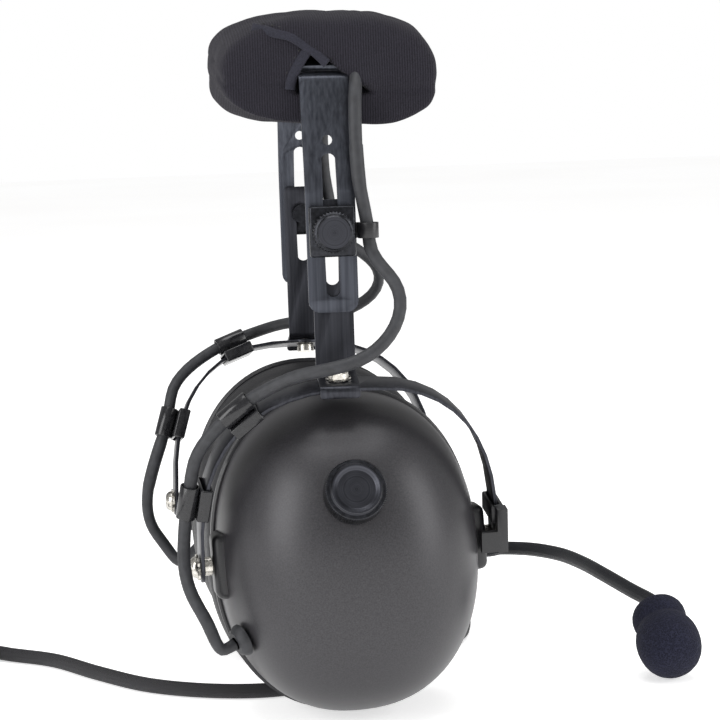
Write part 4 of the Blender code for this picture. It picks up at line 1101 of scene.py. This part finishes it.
def flattened(name, line, width, thick, finish, sides=16):
    """A strip of cloth: an oval section carried along a line of (place, out) in mm."""
    shape = bmesh.new()
    bmesh.ops.create_circle(shape, segments=sides, radius=1.0, cap_ends=True)
    mark = shape.verts.layers.float.new("angle")
    for vert in shape.verts:
        vert[mark] = math.atan2(vert.co.y, vert.co.x)
    ring, ring_verts = shape.edges[:], shape.verts[:]
    for k, point in enumerate(line):
        if k:
            ring, ring_verts = grown_ring(shape, ring)
        ahead = (line[min(k + 1, len(line) - 1)] - line[max(k - 1, 0)]).normalized()
        outwards = Vector((0, math.copysign(1.0, point.y), 0))
        aside = ahead.cross(outwards).normalized()
        for vert in ring_verts:
            c, s = math.cos(vert[mark]), math.sin(vert[mark])
            vert.co = (point + aside * c * width / 2 + outwards * s * thick / 2) * MM
    bmesh.ops.edgeloop_fill(shape, edges=ring)
    shape.verts.layers.float.remove(shape.verts.layers.float["angle"])
    tidy_up(shape)
    return piece(name, shape, finish, "headband", sharp=70)


skin = BVHTree.FromObject(pad, bpy.context.evaluated_depsgraph_get())


def on_face(line, end, proud):
    """A line of (x, 0, z) points carried onto the pad's end, and evened out over five points."""
    depths = []
    for point in line:
        start = Vector((point.x * MM, end * 0.08, point.z * MM))
        hit = skin.ray_cast(start, Vector((0, -end, 0)))[0]
        depths.append(abs(hit.y) / MM if hit else depths[-1] if depths else PAD_END)
    found = []
    for k, point in enumerate(line):
        nearby = depths[max(0, k - 2) : k + 3]
        found.append(Vector((point.x, end * (sum(nearby) / len(nearby) + proud), point.z)))
    return found


for end, name in ((-1, "right"), (1, "left")):
    for edge, title, proud, width in (
        (FLAP_BINDING, "flap", 0.2, 3.1),
        (UNDER_BINDING, "under", 0.1, 3.3),
    ):
        guide = on_face(smooth_line([(x, 0, z) for x, z in edge], 1.0), end, proud)
        flattened(f"{name}_{title}_binding", guide, width, 1.5, BINDING)
        stitches = bmesh.new()
        for k in range(2, len(guide) - 3, 2):
            ahead = (guide[k + 1] - guide[k]).normalized()
            aside = ahead.cross(Vector((0, end, 0))).normalized()
            upward = aside if aside.z > 0 else -aside
            out = Vector((0, end * 0.15, 0))
            centre = guide[k] + upward * (width / 2 + 0.5) + out
            place = Matrix.Scale(MM, 4) @ aimed(centre, ahead) @ Matrix.Diagonal((1, 1, 2.2, 1))
            bmesh.ops.create_icosphere(stitches, subdivisions=1, radius=0.3, matrix=place)
        piece(f"{name}_{title}_stitches", stitches, THREAD, "headband", sharp=80)

# %% [markdown]
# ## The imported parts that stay
# Sheet metal, brackets and clips keep their own solids. A weld and a small bevel catch the
# light along their edges, as a deburred edge does, and each takes its own finish.

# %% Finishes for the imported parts
FINISHES = {
    # The crown plate takes the blackened steel painted lighter, as painted light.
    "crown_plate": PAINTED_LIGHT_STEEL,
    "crown_spring": STEEL,
    "boom_clamp": PLASTIC,
    "mic_capsule": PLASTIC,
}
for side in SIDES:
    FINISHES[f"{side}_crown_rivet"] = STEEL
    # The arms take the blackened steel painted lighter, as painted light.
    FINISHES[f"{side}_arm"] = PAINTED_LIGHT_STEEL
    for kind in ("slide_plate", "stirrup"):
        FINISHES[f"{side}_{kind}"] = STEEL
    FINISHES[f"{side}_clamp_block"] = ANODISED
    for kind in ("upper_wire_clip", "lower_wire_clip"):
        FINISHES[f"{side}_{kind}"] = GLOSS
    for kind in ("cable_clip", "front_bracket", "ear_speaker"):
        FINISHES[f"{side}_{kind}"] = PLASTIC
for name, finish in FINISHES.items():
    node = nodes[name]
    node.data.materials.clear()
    node.data.materials.append(finish)
    node.data.shade_smooth()
    weld = node.modifiers.new("weld", "WELD")
    weld.merge_threshold = 0.000004
    edges = node.modifiers.new("worn edges", "BEVEL")
    edges.width = 0.00015
    edges.segments = 2
    edges.limit_method = "ANGLE"
    edges.angle_limit = math.radians(40)
    edges.harden_normals = True
print("packed parts kept:", len(FINISHES))

# %% [markdown]
# ## Floor and light
# A pale floor, which glows a little, meets a white background that looks brighter than it
# lights. Two large soft lamps stand either side and one above, so that the satin domes show
# broad soft highlights and no hard ones.

# %% Stage
PAPER_GLOW, FLOOR_REACH, WORLD_LIGHT = 0.6, 6.0, 0.4
stage_finish, tree, shader = new_material("pale studio paper", 0.9, Emission_Strength=PAPER_GLOW)
colour_between(tree, shader, noise(tree, object_place(tree), 0.4, 2.0), "f4f3f2", "fafafa")
shape = bmesh.new()
bmesh.ops.create_grid(shape, x_segments=1, y_segments=1, size=FLOOR_REACH)
bmesh.ops.translate(shape, vec=(0, 0, FLOOR * MM), verts=shape.verts)
floor = piece("floor", shape, stage_finish)


def lamp(name, place, target, size, power, colour="ffffff"):
    data = bpy.data.lights.new(name, "AREA")
    data.shape = "RECTANGLE"
    data.size, data.size_y = size
    data.energy = power
    data.color = linear(colour)[:3]
    made = bpy.data.objects.new(name, data)
    bpy.context.scene.collection.objects.link(made)
    made.location = place
    made.rotation_euler = (Vector(target) - Vector(place)).to_track_quat("-Z", "Y").to_euler()


MIDDLE = (0.0, 0.0, -0.1)
lamp("left_softbox", (-1.1, -0.75, 0.35), MIDDLE, (0.7, 1.1), 11.0)
lamp("right_softbox", (1.2, -0.6, 0.25), MIDDLE, (0.5, 1.1), 8.0)
lamp("top_softbox", (0.0, -0.15, 1.3), MIDDLE, (1.2, 0.9), 13.0)
world = bpy.data.worlds.new("studio")
world.use_nodes = True
background = world.node_tree.nodes["Background"]
background.inputs["Color"].default_value = linear("ffffff")
seen = add_node(world.node_tree, "ShaderNodeLightPath").outputs["Is Camera Ray"]
limits = {"To Min": WORLD_LIGHT, "To Max": 1.0}
strength = add_node(world.node_tree, "ShaderNodeMapRange", {"Value": seen}, limits)
world.node_tree.links.new(strength.outputs["Result"], background.inputs["Strength"])
bpy.context.scene.world = world
bpy.context.scene.view_settings.view_transform = "Standard"
